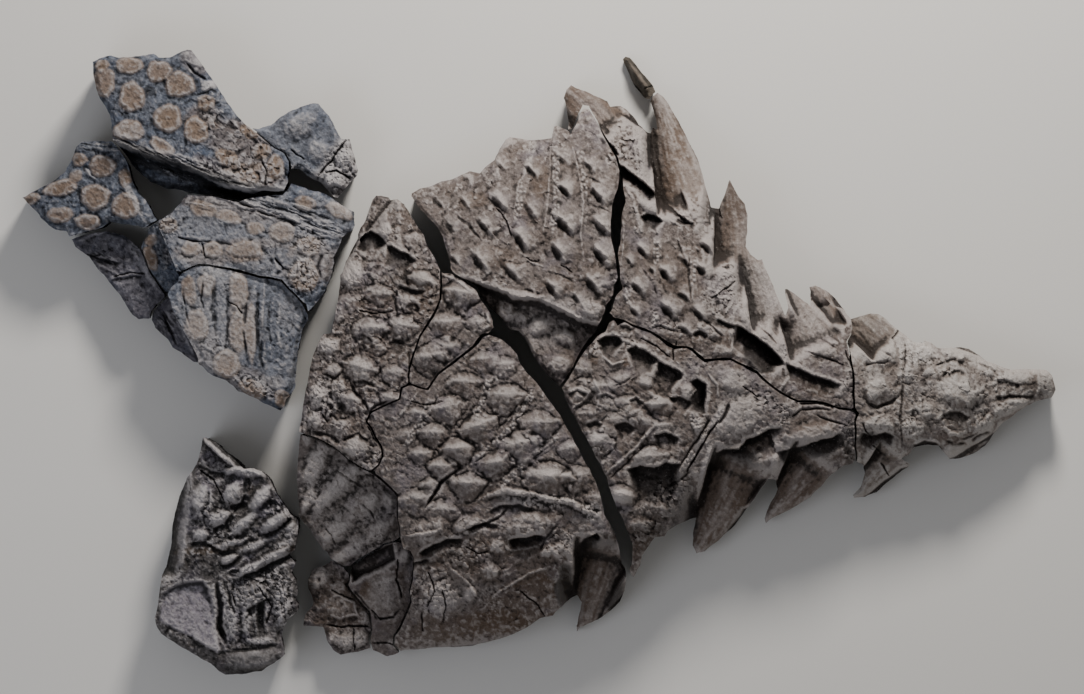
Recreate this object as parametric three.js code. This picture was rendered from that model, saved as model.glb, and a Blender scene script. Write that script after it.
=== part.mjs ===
// Fossil nodosaur: an armoured dinosaur from snout to hips, kept in its stone blocks.
// The blocks lie together on a floor, belly down, with open joints between them.
// Millimetres. +X points to the snout, +Y to the animal's left side, +Z up.
// The origin is on the floor, under the middle of the whole animal.

import * as THREE from 'three';

// Driving dimensions.
const LENGTH = 3015; // rear hip block to snout
const JOINT_GAP = 3; // least gap between two neighbouring blocks
const UNDERCUT = 7; // how far a block's foot is set in from its outline
const EDGE_STEP = 36; // longest straight run along an outline
const FILL_STEP = 41; // spacing of points where the rock has no named form
const LEAST_STEP = 17; // two surface points are never closer than this
const EDGE_CLEAR = 15; // surface points keep this far from the outline
const FOOT_STEP = 150; // spacing of points on the underside
const MOST_SPLITS = 5; // how often an outline is split to keep its edges in the net

// Plan places are read off the photograph, in its pixels: x to the right, y down.
const LENGTH_PX = 1039;
const CENTRE_PX = { x: 539.5, y: 362.5 };
const MM_PER_PX = LENGTH / LENGTH_PX;

const plan = ([x, y]) => new THREE.Vector2((x - CENTRE_PX.x) * MM_PER_PX, (CENTRE_PX.y - y) * MM_PER_PX);
const toPx = (p) => [p.x / MM_PER_PX + CENTRE_PX.x, CENTRE_PX.y - p.y / MM_PER_PX];

// The body's form, tail end to snout: across each station the back rises from the left edge to the
// ridge and falls to the right edge. Plan places in pixels, heights in millimetres.
const BODY = [
  { x: 290, left: 330, ridge: 430, right: 660, ridgeZ: 270, leftZ: 190, rightZ: 70 },
  { x: 400, left: 190, ridge: 350, right: 656, ridgeZ: 385, leftZ: 190, rightZ: 75 },
  { x: 500, left: 138, ridge: 325, right: 645, ridgeZ: 420, leftZ: 170, rightZ: 75 },
  { x: 600, left: 100, ridge: 325, right: 620, ridgeZ: 405, leftZ: 150, rightZ: 75 },
  { x: 700, left: 165, ridge: 350, right: 520, ridgeZ: 370, leftZ: 140, rightZ: 80 },
  { x: 790, left: 292, ridge: 382, right: 500, ridgeZ: 310, leftZ: 130, rightZ: 80 },
  { x: 870, left: 316, ridge: 384, right: 475, ridgeZ: 270, leftZ: 140, rightZ: 70 },
  { x: 950, left: 345, ridge: 384, right: 462, ridgeZ: 245, leftZ: 150, rightZ: 80 },
  { x: 1010, left: 366, ridge: 385, right: 426, ridgeZ: 185, leftZ: 120, rightZ: 75 },
  { x: 1060, left: 369, ridge: 385, right: 402, ridgeZ: 135, leftZ: 90, rightZ: 65 },
];

const smooth = (t) => THREE.MathUtils.smoothstep(t, 0, 1);

function bodyHeight(p) {
  const [x, y] = toPx(p);
  const last = BODY.length - 1;
  let i = 0;
  while (i < last - 1 && x > BODY[i + 1].x) i += 1;
  const t = THREE.MathUtils.clamp((x - BODY[i].x) / (BODY[i + 1].x - BODY[i].x), 0, 1);
  const at = (key) => THREE.MathUtils.lerp(BODY[i][key], BODY[i + 1][key], t);
  const onLeft = y < at('ridge');
  const edge = onLeft ? at('left') : at('right');
  const edgeZ = onLeft ? at('leftZ') : at('rightZ');
  const across = Math.min((y - at('ridge')) / (edge - at('ridge')), 1.4);
  const arch = Math.sqrt(Math.max(0, 1 - Math.min(across, 1) ** 2.2));
  const beyond = Math.max(0, across - 1) * edgeZ * 1.5;
  return edgeZ + (at('ridgeZ') - edgeZ) * arch - beyond;
}

// A block that doesn't follow the body has a flat or tilted top, in millimetres of rise per millimetre.
function slab(at, top, riseX, riseY) {
  const centre = plan(at);
  return (p) => top + riseX * (p.x - centre.x) + riseY * (p.y - centre.y);
}

// Distance from a point to a run of straight segments.
function distanceTo(p, line, closed) {
  let best = Infinity;
  const count = closed ? line.length : line.length - 1;
  for (let i = 0; i < count; i += 1) {
    const a = line[i];
    const b = line[(i + 1) % line.length];
    const dx = b.x - a.x;
    const dy = b.y - a.y;
    const t = THREE.MathUtils.clamp(((p.x - a.x) * dx + (p.y - a.y) * dy) / (dx * dx + dy * dy), 0, 1);
    best = Math.min(best, Math.hypot(p.x - a.x - t * dx, p.y - a.y - t * dy));
  }
  return best;
}

function inside(p, outline) {
  let within = false;
  for (let i = 0, j = outline.length - 1; i < outline.length; j = i, i += 1) {
    const a = outline[i];
    const b = outline[j];
    const crosses = (a.y > p.y) !== (b.y > p.y);
    if (crosses && p.x < ((b.x - a.x) * (p.y - a.y)) / (b.y - a.y) + a.x) within = !within;
  }
  return within;
}

// A steady unevenness: the same place always gives the same value from 0 to 1.
function unevenness(x, y, seed) {
  const s = Math.sin(x * 0.173 + y * 0.291 + seed * 4.7) * 9173.31;
  return s - Math.floor(s);
}

// Forms on a block. Each gives its height at a point and the points that its shape needs.

// Keeled armour plate: a low pyramid with its keel running back and outward.
function plate([x, y, radius, height]) {
  const centre = plan([x, y]);
  const r = radius * MM_PER_PX;
  const keel = new THREE.Vector2(Math.SQRT1_2, -Math.SQRT1_2);
  return {
    height(p) {
      const dx = p.x - centre.x;
      const dy = p.y - centre.y;
      const along = Math.abs(dx * keel.x + dy * keel.y) / (r * 1.15);
      const across = Math.abs(dx * keel.y - dy * keel.x) / (r * 0.9);
      return height * Math.max(0, 1 - across - along * 0.55);
    },
    points() {
      const list = [centre];
      for (const [u, v] of [[0.8, 0], [-0.8, 0], [0.3, 0.9], [-0.3, 0.9], [0.3, -0.9], [-0.3, -0.9]]) {
        list.push(new THREE.Vector2(
          centre.x + r * (u * keel.x - v * keel.y),
          centre.y + r * (u * keel.y + v * keel.x),
        ));
      }
      return list;
    },
  };
}

// Rounded lump, or a pit where the height is negative: an ellipse turned by some degrees.
function lump([x, y, radiusX, radiusY, turn, height]) {
  const centre = plan([x, y]);
  const a = THREE.MathUtils.degToRad(turn);
  const rx = radiusX * MM_PER_PX;
  const ry = radiusY * MM_PER_PX;
  return {
    height(p) {
      const dx = p.x - centre.x;
      const dy = p.y - centre.y;
      const u = (dx * Math.cos(a) + dy * Math.sin(a)) / rx;
      const v = (dy * Math.cos(a) - dx * Math.sin(a)) / ry;
      return height * smooth(1.35 - Math.hypot(u, v));
    },
    points() {
      const list = [centre];
      const turns = Math.max(rx, ry) > 45 ? 8 : 6;
      for (const reach of height < 0 ? [0.5, 1.2] : [1.05]) {
        for (let i = 0; i < turns; i += 1) {
          const b = (i / turns) * Math.PI * 2;
          const u = Math.cos(b) * rx * reach;
          const v = Math.sin(b) * ry * reach;
          list.push(new THREE.Vector2(
            centre.x + u * Math.cos(a) - v * Math.sin(a),
            centre.y + u * Math.sin(a) + v * Math.cos(a),
          ));
        }
      }
      return list;
    },
  };
}

const pit = ([x, y, radiusX, radiusY, turn, depth]) => lump([x, y, radiusX, radiusY, turn, -depth]);

// Points every so often along a line, each moved sideways by each of the offsets.
function alongLine(line, step, offsets, closed) {
  const list = [];
  const count = closed ? line.length : line.length - 1;
  for (let i = 0; i < count; i += 1) {
    const a = line[i];
    const b = line[(i + 1) % line.length];
    const length = a.distanceTo(b);
    const pieces = Math.max(1, Math.round(length / step));
    const side = new THREE.Vector2(-(b.y - a.y) / length, (b.x - a.x) / length);
    for (let k = 0; k < pieces; k += 1) {
      for (const offset of offsets) {
        list.push(a.clone().lerp(b, k / pieces).addScaledVector(side, offset));
      }
    }
  }
  if (!closed) list.push(line[line.length - 1].clone());
  return list;
}

// Ridge along a line, or a groove where the height is negative.
function ridge([line, halfWidth, height]) {
  const path = line.map(plan);
  const w = halfWidth * MM_PER_PX;
  return {
    height: (p) => height * smooth(1.25 - distanceTo(p, path, false) / w),
    points: () => alongLine(path, 42, [0, w * 1.25, -w * 1.25], false),
  };
}

// Part of the surface that lies lower, with a sloping face of some width inside its edge.
function shelf([line, depth, slopeWidth]) {
  const edge = line.map(plan);
  const slope = slopeWidth * MM_PER_PX;
  return {
    height: (p) => (inside(p, edge) ? -depth * smooth(distanceTo(p, edge, true) / slope) : 0),
    points: () => {
      const turned = THREE.ShapeUtils.isClockWise(edge) ? -1 : 1;
      return alongLine(edge, 44, [-3 * turned, slope * turned], true);
    },
  };
}

// Spine or spike that reaches out from the body: it gives its top and its raised underside.
function spine({ root, tip, width, top, thick }) {
  const a = plan(root);
  const b = plan(tip);
  const axis = b.clone().sub(a);
  const reach = axis.length();
  axis.divideScalar(reach);
  const place = (p) => {
    const dx = p.x - a.x;
    const dy = p.y - a.y;
    const s = (dx * axis.x + dy * axis.y) / reach;
    const half = THREE.MathUtils.lerp(width[0], width[1], THREE.MathUtils.clamp(s, 0, 1)) * MM_PER_PX;
    return { s, side: Math.abs(dy * axis.x - dx * axis.y) / half };
  };
  return {
    top(p) {
      const { s, side } = place(p);
      if (s < -0.15 || side > 1.9) return -Infinity;
      const onAxis = THREE.MathUtils.lerp(top[0], top[1], Math.min(s, 1.1));
      return onAxis - thick * 0.55 * Math.min(side, 1.3) ** 1.6;
    },
    underside(p) {
      const { s, side } = place(p);
      if (s < 0 || side > 1.9) return 0;
      const onAxis = THREE.MathUtils.lerp(top[0], top[1], Math.min(s, 1.1));
      return Math.max(0, onAxis - thick) * smooth(s * 1.6 - 0.1);
    },
    points: () => alongLine([a, b], 40, [0], false),
  };
}

// Triangles through scattered points by adding one point at a time to a net with no
// point inside any triangle's circle.
function triangulate(points) {
  const far = 1e5;
  const all = [...points, new THREE.Vector2(-far, -far), new THREE.Vector2(far, -far), new THREE.Vector2(0, far)];
  const n = points.length;
  const circled = (i, j, k) => {
    const a = all[i];
    const b = all[j];
    const c = all[k];
    const d = 2 * (a.x * (b.y - c.y) + b.x * (c.y - a.y) + c.x * (a.y - b.y));
    const aa = a.lengthSq();
    const bb = b.lengthSq();
    const cc = c.lengthSq();
    const x = (aa * (b.y - c.y) + bb * (c.y - a.y) + cc * (a.y - b.y)) / d;
    const y = (aa * (c.x - b.x) + bb * (a.x - c.x) + cc * (b.x - a.x)) / d;
    return { corners: [i, j, k], x, y, rr: (a.x - x) ** 2 + (a.y - y) ** 2 };
  };
  let net = [circled(n, n + 1, n + 2)];
  points.forEach((p, index) => {
    const rim = new Map();
    const kept = [];
    for (const triangle of net) {
      if ((p.x - triangle.x) ** 2 + (p.y - triangle.y) ** 2 >= triangle.rr) {
        kept.push(triangle);
        continue;
      }
      const [i, j, k] = triangle.corners;
      for (const [u, v] of [[i, j], [j, k], [k, i]]) {
        if (rim.has(`${v} ${u}`)) rim.delete(`${v} ${u}`);
        else rim.set(`${u} ${v}`, [u, v]);
      }
    }
    net = kept;
    for (const [u, v] of rim.values()) net.push(circled(u, v, index));
  });
  return net.map((t) => t.corners).filter((c) => c.every((i) => i < n));
}

// The triangles that lie inside an outline whose points come first in the list.
function fillOutline(outline, inner) {
  const points = [...outline, ...inner];
  const faces = triangulate(points).filter(([i, j, k]) => {
    const x = (points[i].x + points[j].x + points[k].x) / 3;
    const y = (points[i].y + points[j].y + points[k].y) / 3;
    return inside({ x, y }, outline);
  });
  const edges = new Set(faces.flatMap(([i, j, k]) => [`${i} ${j}`, `${j} ${k}`, `${k} ${i}`]));
  const missing = outline.map((_, i) => i).filter((i) => !edges.has(`${i} ${(i + 1) % outline.length}`));
  return { points, faces, missing };
}

// A point between two others, slightly off the straight line as broken rock is.
function between(a, b, t) {
  const p = a.clone().lerp(b, t);
  const angle = unevenness(p.x, p.y, 1) * Math.PI * 2;
  return p.add(new THREE.Vector2(Math.cos(angle), Math.sin(angle)).multiplyScalar(1.1));
}

function splitLongEdges(outline) {
  return outline.flatMap((a, i) => {
    const b = outline[(i + 1) % outline.length];
    const pieces = Math.ceil(a.distanceTo(b) / EDGE_STEP);
    return [a, ...Array.from({ length: pieces - 1 }, (_, k) => between(a, b, (k + 1) / pieces))];
  });
}

// The outline moved inward, by less where it is narrow.
function setIn(outline, distance) {
  const n = outline.length;
  return outline.map((p, i) => {
    const before = outline[(i + n - 1) % n];
    const after = outline[(i + 1) % n];
    const others = Array.from({ length: n - 1 }, (_, k) => outline[(i + 1 + k) % n]);
    const move = Math.min(distance, 0.3 * distanceTo(p, others, false));
    const inBefore = new THREE.Vector2(-(p.y - before.y), p.x - before.x).normalize();
    const inAfter = new THREE.Vector2(-(after.y - p.y), after.x - p.x).normalize();
    const turn = Math.max(0.5, 1 + inBefore.dot(inAfter));
    return p.clone().add(inBefore.add(inAfter).multiplyScalar(move / turn));
  });
}

// Points inside an outline: those of the named forms first, then an even fill between them.
function surfacePoints(outline, forms) {
  const box = new THREE.Box2().setFromPoints(outline);
  const chosen = [];
  const add = (p, room) => {
    if (!inside(p, outline) || distanceTo(p, outline, true) < EDGE_CLEAR) return;
    if (chosen.every((q) => q.distanceTo(p) > room)) chosen.push(p);
  };
  forms.forEach((form) => form.points().forEach((p) => add(p, LEAST_STEP)));
  for (let row = 0, y = box.min.y; y < box.max.y; row += 1, y += FILL_STEP * 0.87) {
    for (let x = box.min.x + (row % 2) * FILL_STEP * 0.5; x < box.max.x; x += FILL_STEP) {
      const dx = (unevenness(x, y, 2) - 0.5) * FILL_STEP * 0.3;
      const dy = (unevenness(x, y, 3) - 0.5) * FILL_STEP * 0.3;
      add(new THREE.Vector2(x + dx, y + dy), FILL_STEP * 0.66);
    }
  }
  return chosen;
}

function gridInside(outline, step) {
  const box = new THREE.Box2().setFromPoints(outline);
  const list = [];
  for (let y = box.min.y + step * 0.41; y < box.max.y; y += step) {
    for (let x = box.min.x + step * 0.37; x < box.max.x; x += step) {
      const p = new THREE.Vector2(x + unevenness(x, y, 4) * 9, y + unevenness(x, y, 5) * 9);
      if (inside(p, outline) && distanceTo(p, outline, true) > step * 0.3) list.push(p);
    }
  }
  return list;
}

// One block: a worked top over a foot that rests on the floor, and a broken wall between them.
function block(name, material, { outline, base, edge, plates, lumps, pits, ridges, shelves, spines }) {
  const reaches = (spines ?? []).map(spine);
  const forms = [
    ...(plates ?? []).map(plate),
    ...(ridges ?? []).map(ridge),
    ...(pits ?? []).map(pit),
    ...(lumps ?? []).map(lump),
    ...(shelves ?? []).map(shelf),
  ];
  let rim = outline.map(plan);
  if (THREE.ShapeUtils.isClockWise(rim)) rim.reverse();
  rim = setIn(splitLongEdges(rim), JOINT_GAP / 2);

  let top;
  let foot;
  for (let round = 0; round <= MOST_SPLITS; round += 1) {
    top = fillOutline(rim, surfacePoints(rim, [...reaches, ...forms]));
    foot = fillOutline(setIn(rim, UNDERCUT), gridInside(setIn(rim, UNDERCUT), FOOT_STEP));
    const missing = new Set([...top.missing, ...foot.missing]);
    if (missing.size === 0) break;
    if (round === MOST_SPLITS) {
      const places = [...missing].map((i) => toPx(rim[i]).map(Math.round).join(' '));
      throw new Error(`${name}: outline crosses itself near ${places.join(', ')}`);
    }
    rim = rim.flatMap((a, i) => (missing.has(i) ? [a, between(a, rim[(i + 1) % rim.length], 0.5)] : [a]));
  }

  const underside = (p) => Math.max(0, ...reaches.map((r) => r.underside(p)));
  const surface = (p) => {
    const form = forms.reduce((sum, f) => sum + f.height(p), base(p));
    const body = Math.max(form, ...reaches.map((r) => r.top(p)));
    const rounding = edge.drop * (1 - smooth(distanceTo(p, rim, true) / edge.width));
    return Math.max(body - rounding, underside(p) + 22);
  };

  const positions = [];
  top.points.forEach((p) => positions.push(p.x, p.y, surface(p)));
  foot.points.forEach((p) => positions.push(p.x, p.y, underside(p)));
  const shift = top.points.length;
  const faces = [...top.faces, ...foot.faces.map(([i, j, k]) => [i + shift, k + shift, j + shift])];
  rim.forEach((_, i) => {
    const next = (i + 1) % rim.length;
    faces.push([i, i + shift, next + shift], [i, next + shift, next]);
  });

  const geometry = new THREE.BufferGeometry();
  geometry.setAttribute('position', new THREE.Float32BufferAttribute(positions, 3));
  geometry.setIndex(faces.flat());
  geometry.computeVertexNormals();
  const mesh = new THREE.Mesh(geometry, material);
  mesh.name = name;
  return mesh;
}

const stone = (color, roughness = 0.85) => new THREE.MeshStandardMaterial({ color, roughness, metalness: 0 });
const trunkStone = stone(0x8b8179);
const skullStone = stone(0xa0968a);
const hipStone = stone(0x6d7076);
const shale = stone(0x4b4b50);
const limbStone = stone(0x5c5b60);
const spineSheath = stone(0x9a8c76, 0.7);

const JOINT_EDGE = { width: 16, drop: 14 };
const BROKEN_EDGE = { width: 46, drop: 34 };

// Head: skull with the beak to the right, eye socket and cheek on the right side, half rings of
// neck armour behind it and the first pair of neck spikes.
const head = {
  outline: [
    [854, 326], [853, 318], [861, 315], [872, 312], [880, 313], [888, 318], [894, 325], [900, 330],
    [907, 335], [913, 341], [922, 342], [925, 339], [932, 342], [938, 347], [950, 347], [962, 346],
    [971, 348], [981, 354], [988, 360], [1001, 365], [1012, 368.5], [1032, 368], [1050, 369], [1055, 375],
    [1059, 390], [1055, 399], [1040, 402], [1029, 407], [1014, 418], [1004, 425], [997, 436], [990, 447],
    [980, 454], [964, 460], [951, 461], [944, 453], [940, 447], [928, 446], [915, 448], [910, 456],
    [904, 459], [912, 464], [911, 469], [899, 478], [890, 485], [880, 494], [868, 499], [856, 500],
    [854, 496], [862, 488], [866, 474], [864, 466], [858, 463], [856, 446], [857, 432], [856, 421],
    [859, 413], [855, 408], [854, 395], [854, 378], [851, 361], [850, 351], [848, 343], [853, 335],
  ],
  base: bodyHeight,
  edge: JOINT_EDGE,
  lumps: [
    [880, 345, 17, 12, -12, 16], [878, 385, 14, 8, 0, 14], [874, 398, 14, 8, 0, 20],
    [877, 422, 15, 9, 0, 18], [925, 352, 13, 8, 0, 10], [955, 390, 20, 8, 0, 12],
    [960, 356, 18, 8, 0, 10], [957, 452, 11, 8, 0, 18], [984, 445, 9, 6, 30, 12],
    [915, 432, 16, 13, 0, 14], [1047, 384, 9, 13, 0, 14], [975, 436, 9, 6, -20, 16],
  ],
  pits: [
    [955, 420, 12, 10, 0, 42], [880, 441, 12, 7, 0, 34], [953, 372, 9, 4, 10, 16], [914, 409, 4, 6, 0, 12],
  ],
  ridges: [
    [[[998, 398], [1018, 396], [1040, 394]], 4.5, -30],
    [[[864, 405], [876, 409], [889, 406], [900, 399]], 2.5, -14],
    [[[1000, 410], [1020, 403], [1040, 399]], 5, 16],
    [[[892, 339], [899, 331]], 2, -12],
  ],
  spines: [
    { root: [885, 347], tip: [857, 317], width: [16, 5], top: [225, 110], thick: 80 },
    { root: [893, 455], tip: [858, 497], width: [14, 7], top: [150, 75], thick: 55 },
  ],
};

// Left shoulder and neck: the big spine, four neck spikes, rows of keeled plates and a deep
// hollow along the neck.
const leftShoulder = {
  outline: [
    [563, 96], [566, 87], [571, 82], [578, 86], [587, 89], [594, 93], [602, 96], [608, 99], [611, 105],
    [621, 104], [628, 108], [635, 115], [640, 123], [647, 130], [651, 131], [653, 125], [657, 127],
    [656, 118], [653, 108], [651, 101], [654, 95], [660, 91], [665, 94], [670, 101], [680, 119],
    [690, 140], [700, 160], [704, 175], [709, 195], [712, 206], [719, 207], [724, 194], [728, 182],
    [730, 178], [733, 183], [740, 196], [746, 203], [749, 215], [749, 232], [747, 246], [752, 254],
    [758, 259], [763, 258], [766, 267], [773, 283], [779, 298], [785, 314], [787, 308], [784, 295],
    [784, 288], [788, 288], [797, 294], [810, 304], [810, 292], [809, 286], [817, 284], [828, 289],
    [837, 297], [846, 309], [851, 322], [850, 333], [845, 341], [847, 351], [848, 361], [851, 371],
    [851, 385], [851, 399], [851, 408], [838, 406], [824, 401], [813, 399], [797, 399], [788, 395],
    [772, 385], [764, 378], [756, 370], [742, 363], [730, 357], [716, 357], [704, 358], [698, 353],
    [691, 347], [684, 345], [675, 345], [667, 341], [660, 336], [650, 330], [632, 324], [622, 319],
    [614, 317], [609, 314], [616, 297], [621, 289], [620, 270], [618, 255], [619, 235], [620, 216],
    [624, 203], [623, 187], [622, 171], [618, 158], [612, 147], [606, 137], [600, 125], [594, 113],
    [589, 104], [583, 103], [578, 112], [574, 123], [569, 130], [567, 115],
  ],
  base: bodyHeight,
  edge: JOINT_EDGE,
  plates: [
    [657, 210, 16, 36], [653, 249, 15, 26], [648, 284, 15, 26], [681, 266, 16, 32], [676, 303, 15, 28],
    [708, 303, 14, 24], [712, 268, 13, 22], [710, 238, 13, 20], [632, 255, 11, 14], [633, 312, 14, 20],
    [686, 328, 13, 16], [735, 300, 14, 18],
  ],
  pits: [
    [634, 185, 18, 13, -25, 80], [650, 225, 8, 9, 0, 34], [760, 352, 24, 11, -42, 95],
    [697, 314, 6, 9, 0, 30], [720, 322, 13, 8, -20, 28], [704, 243, 7, 16, 20, 22], [815, 378, 20, 8, -25, 26],
  ],
  ridges: [
    [[[650, 197], [664, 210], [677, 226]], 5, -38],
    [[[715, 311], [732, 325]], 4, 16],
    [[[735, 327], [750, 329], [765, 341], [783, 362]], 6, 34],
    [[[786, 314], [790, 332], [794, 346]], 5, 26],
    [[[782, 358], [786, 374], [778, 388]], 4, 20],
    [[[683, 222], [687, 245], [692, 270], [694, 296]], 4, 14],
    [[[628, 196], [635, 214], [645, 234], [656, 250]], 4, 16],
  ],
  spines: [
    { root: [686, 222], tip: [659, 93], width: [24, 8], top: [275, 78], thick: 95 },
    { root: [628, 142], tip: [568, 88], width: [24, 8], top: [190, 80], thick: 70 },
    { root: [733, 268], tip: [730, 181], width: [17, 5], top: [250, 120], thick: 75 },
    { root: [768, 332], tip: [749, 251], width: [20, 8], top: [275, 150], thick: 90 },
    { root: [822, 342], tip: [787, 290], width: [20, 5], top: [275, 135], thick: 80 },
    { root: [846, 338], tip: [813, 287], width: [17, 6], top: [235, 110], thick: 70 },
  ],
};

// Broken end of the big shoulder spine.
const leftSpineTip = {
  outline: [
    [623, 56], [626, 53], [631, 54], [637, 61], [643, 69], [650, 77], [655, 83], [656, 89], [653, 92],
    [650, 97], [645, 96], [640, 90], [635, 84], [631, 76], [627, 66], [624, 60],
  ],
  base: slab([640, 75], 58, 0, -0.1),
  edge: { width: 30, drop: 34 },
  ridges: [[[[629, 60], [640, 74], [649, 90]], 5, 14]],
};

// Right shoulder and neck: deep openings under a lip, a bright plate at the root of a broad
// spike, and a second spike further forward.
const rightShoulder = {
  outline: [
    [608, 322], [613, 321], [617, 325], [624, 323], [632, 328], [649, 334], [658, 340], [665, 346],
    [673, 350], [685, 349], [690, 352], [696, 358], [703, 363], [716, 361], [729, 361], [741, 367],
    [754, 374], [761, 381], [770, 388], [787, 399], [796, 403], [813, 403], [824, 405], [837, 410],
    [851, 412], [854, 414], [852, 421], [853, 433], [853, 446], [855, 458], [852, 465], [843, 467],
    [833, 475], [824, 487], [812, 499], [800, 507], [785, 515], [775, 520], [767, 526], [765, 520],
    [771, 504], [778, 490], [776, 481], [769, 480], [761, 491], [752, 505], [744, 518], [734, 530],
    [720, 543], [706, 554], [697, 556], [693, 547], [693, 535], [696, 520], [688, 522], [677, 526],
    [669, 531], [665, 537], [655, 538], [650, 546], [643, 556], [641, 566], [634, 579], [630, 570],
    [631, 555], [631, 542], [626, 531], [622, 519], [614, 504], [609, 490], [605, 476], [599, 464],
    [591, 450], [585, 438], [577, 424], [570, 411], [564, 398], [562, 388], [569, 379], [575, 368],
    [581, 357], [588, 347], [597, 337], [604, 331],
  ],
  base: bodyHeight,
  edge: JOINT_EDGE,
  plates: [
    [640, 458, 17, 30], [620, 495, 13, 22], [655, 425, 13, 16], [610, 378, 12, 14], [595, 440, 13, 18],
    [632, 405, 12, 14], [730, 378, 15, 16],
  ],
  lumps: [
    [725, 412, 28, 20, 10, 22], [757, 416, 20, 16, 0, 14], [682, 392, 9, 10, 0, 20], [810, 434, 32, 8, 14, 22],
    [700, 420, 12, 18, 0, 10], [640, 522, 13, 12, 0, 18],
  ],
  pits: [
    [613, 347, 12, 12, 0, 44], [640, 361, 12, 14, 0, 58], [671, 371, 12, 12, -20, 50], [698, 393, 8, 15, 0, 60],
    [681, 405, 11, 5, -10, 34], [665, 439, 11, 6, 0, 36], [625, 432, 7, 8, -20, 26], [648, 482, 19, 13, 0, 42],
    [742, 462, 28, 12, 6, 46], [812, 456, 30, 8, 14, 40], [688, 500, 12, 22, 0, 30],
  ],
  ridges: [
    [[[606, 331], [621, 339], [633, 345], [646, 343], [660, 355], [680, 372], [704, 382]], 3.5, 16],
    [[[656, 424], [645, 437], [630, 450], [612, 465]], 4, 18],
    [[[722, 408], [705, 430], [692, 450], [678, 470]], 4, 16],
  ],
  spines: [
    { root: [738, 470], tip: [699, 551], width: [26, 9], top: [205, 85], thick: 75 },
    { root: [828, 468], tip: [768, 522], width: [17, 5], top: [190, 75], thick: 65 },
    { root: [643, 522], tip: [634, 574], width: [12, 4], top: [130, 62], thick: 50 },
  ],
};

// Left trunk: four rows of keeled plates, and a step down to a low shelf towards the back's ridge.
const leftTrunk = {
  outline: [
    [411, 193], [420, 188], [431, 186], [441, 181], [452, 179], [461, 175], [470, 171], [480, 173],
    [484, 168], [494, 160], [499, 149], [505, 139], [510, 136], [520, 138], [531, 140], [541, 139],
    [551, 138], [553, 126], [557, 125], [568, 132], [571, 135], [576, 127], [580, 115], [584, 108],
    [588, 109], [592, 116], [598, 127], [603, 139], [609, 149], [615, 160], [618, 172], [617, 190],
    [613, 206], [611, 222], [612, 245], [614, 262], [616, 278], [612, 294], [605, 306], [602, 318],
    [596, 330], [586, 341], [578, 353], [572, 366], [565, 377], [558, 386], [549, 378], [541, 368],
    [531, 353], [525, 340], [518, 332], [509, 330], [502, 320], [492, 308], [483, 299], [479, 287],
    [468, 280], [455, 273], [451, 268], [447, 252], [443, 238], [436, 227], [426, 216], [417, 206],
    [411, 197],
  ],
  base: bodyHeight,
  edge: JOINT_EDGE,
  plates: [
    [500, 200, 17, 30], [493, 229, 17, 30], [488, 256, 16, 28], [467, 197, 13, 16], [456, 228, 12, 14],
    [513, 166, 14, 14], [540, 172, 13, 14], [539, 203, 14, 20], [525, 237, 16, 30], [521, 267, 15, 22],
    [563, 160, 14, 16], [566, 190, 15, 28], [566, 220, 16, 32], [563, 251, 15, 28], [556, 281, 15, 22],
    [590, 164, 13, 18], [600, 194, 16, 30], [601, 222, 16, 32], [601, 256, 16, 32], [598, 286, 15, 26],
  ],
  lumps: [[543, 326, 9, 9, 0, 26], [507, 311, 9, 10, 0, 30], [590, 309, 12, 9, 0, 24], [560, 365, 12, 9, 0, 18]],
  pits: [[543, 326, 4, 4, 0, 30], [568, 326, 15, 8, -8, 20]],
  ridges: [[[[528, 148], [526, 170], [521, 195], [516, 220]], 3.5, 12], [[[554, 142], [556, 180], [555, 235]], 3.5, 12]],
  shelves: [[
    [
      [455, 276], [480, 284], [507, 293], [514, 298], [540, 301], [562, 311], [582, 320], [608, 326],
      [600, 345], [570, 395], [540, 385], [505, 335], [474, 300],
    ], 92, 8,
  ]],
};

// Wedge of the back between the left and right trunk.
const backWedge = {
  outline: [
    [443, 272], [452, 275], [461, 281], [470, 287], [476, 291], [482, 302], [488, 311], [494, 321],
    [495, 328], [489, 332], [482, 333], [477, 339], [473, 345], [464, 352], [455, 359], [446, 366],
    [439, 372], [433, 380], [428, 388], [420, 386], [411, 382], [412, 368], [415, 358], [419, 347],
    [422, 338], [427, 331], [433, 322], [439, 311], [443, 300], [444, 286],
  ],
  base: bodyHeight,
  edge: JOINT_EDGE,
  plates: [[462, 298, 15, 32], [440, 332, 14, 20], [443, 355, 13, 16]],
  lumps: [[478, 322, 9, 8, 0, 12]],
};

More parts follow.
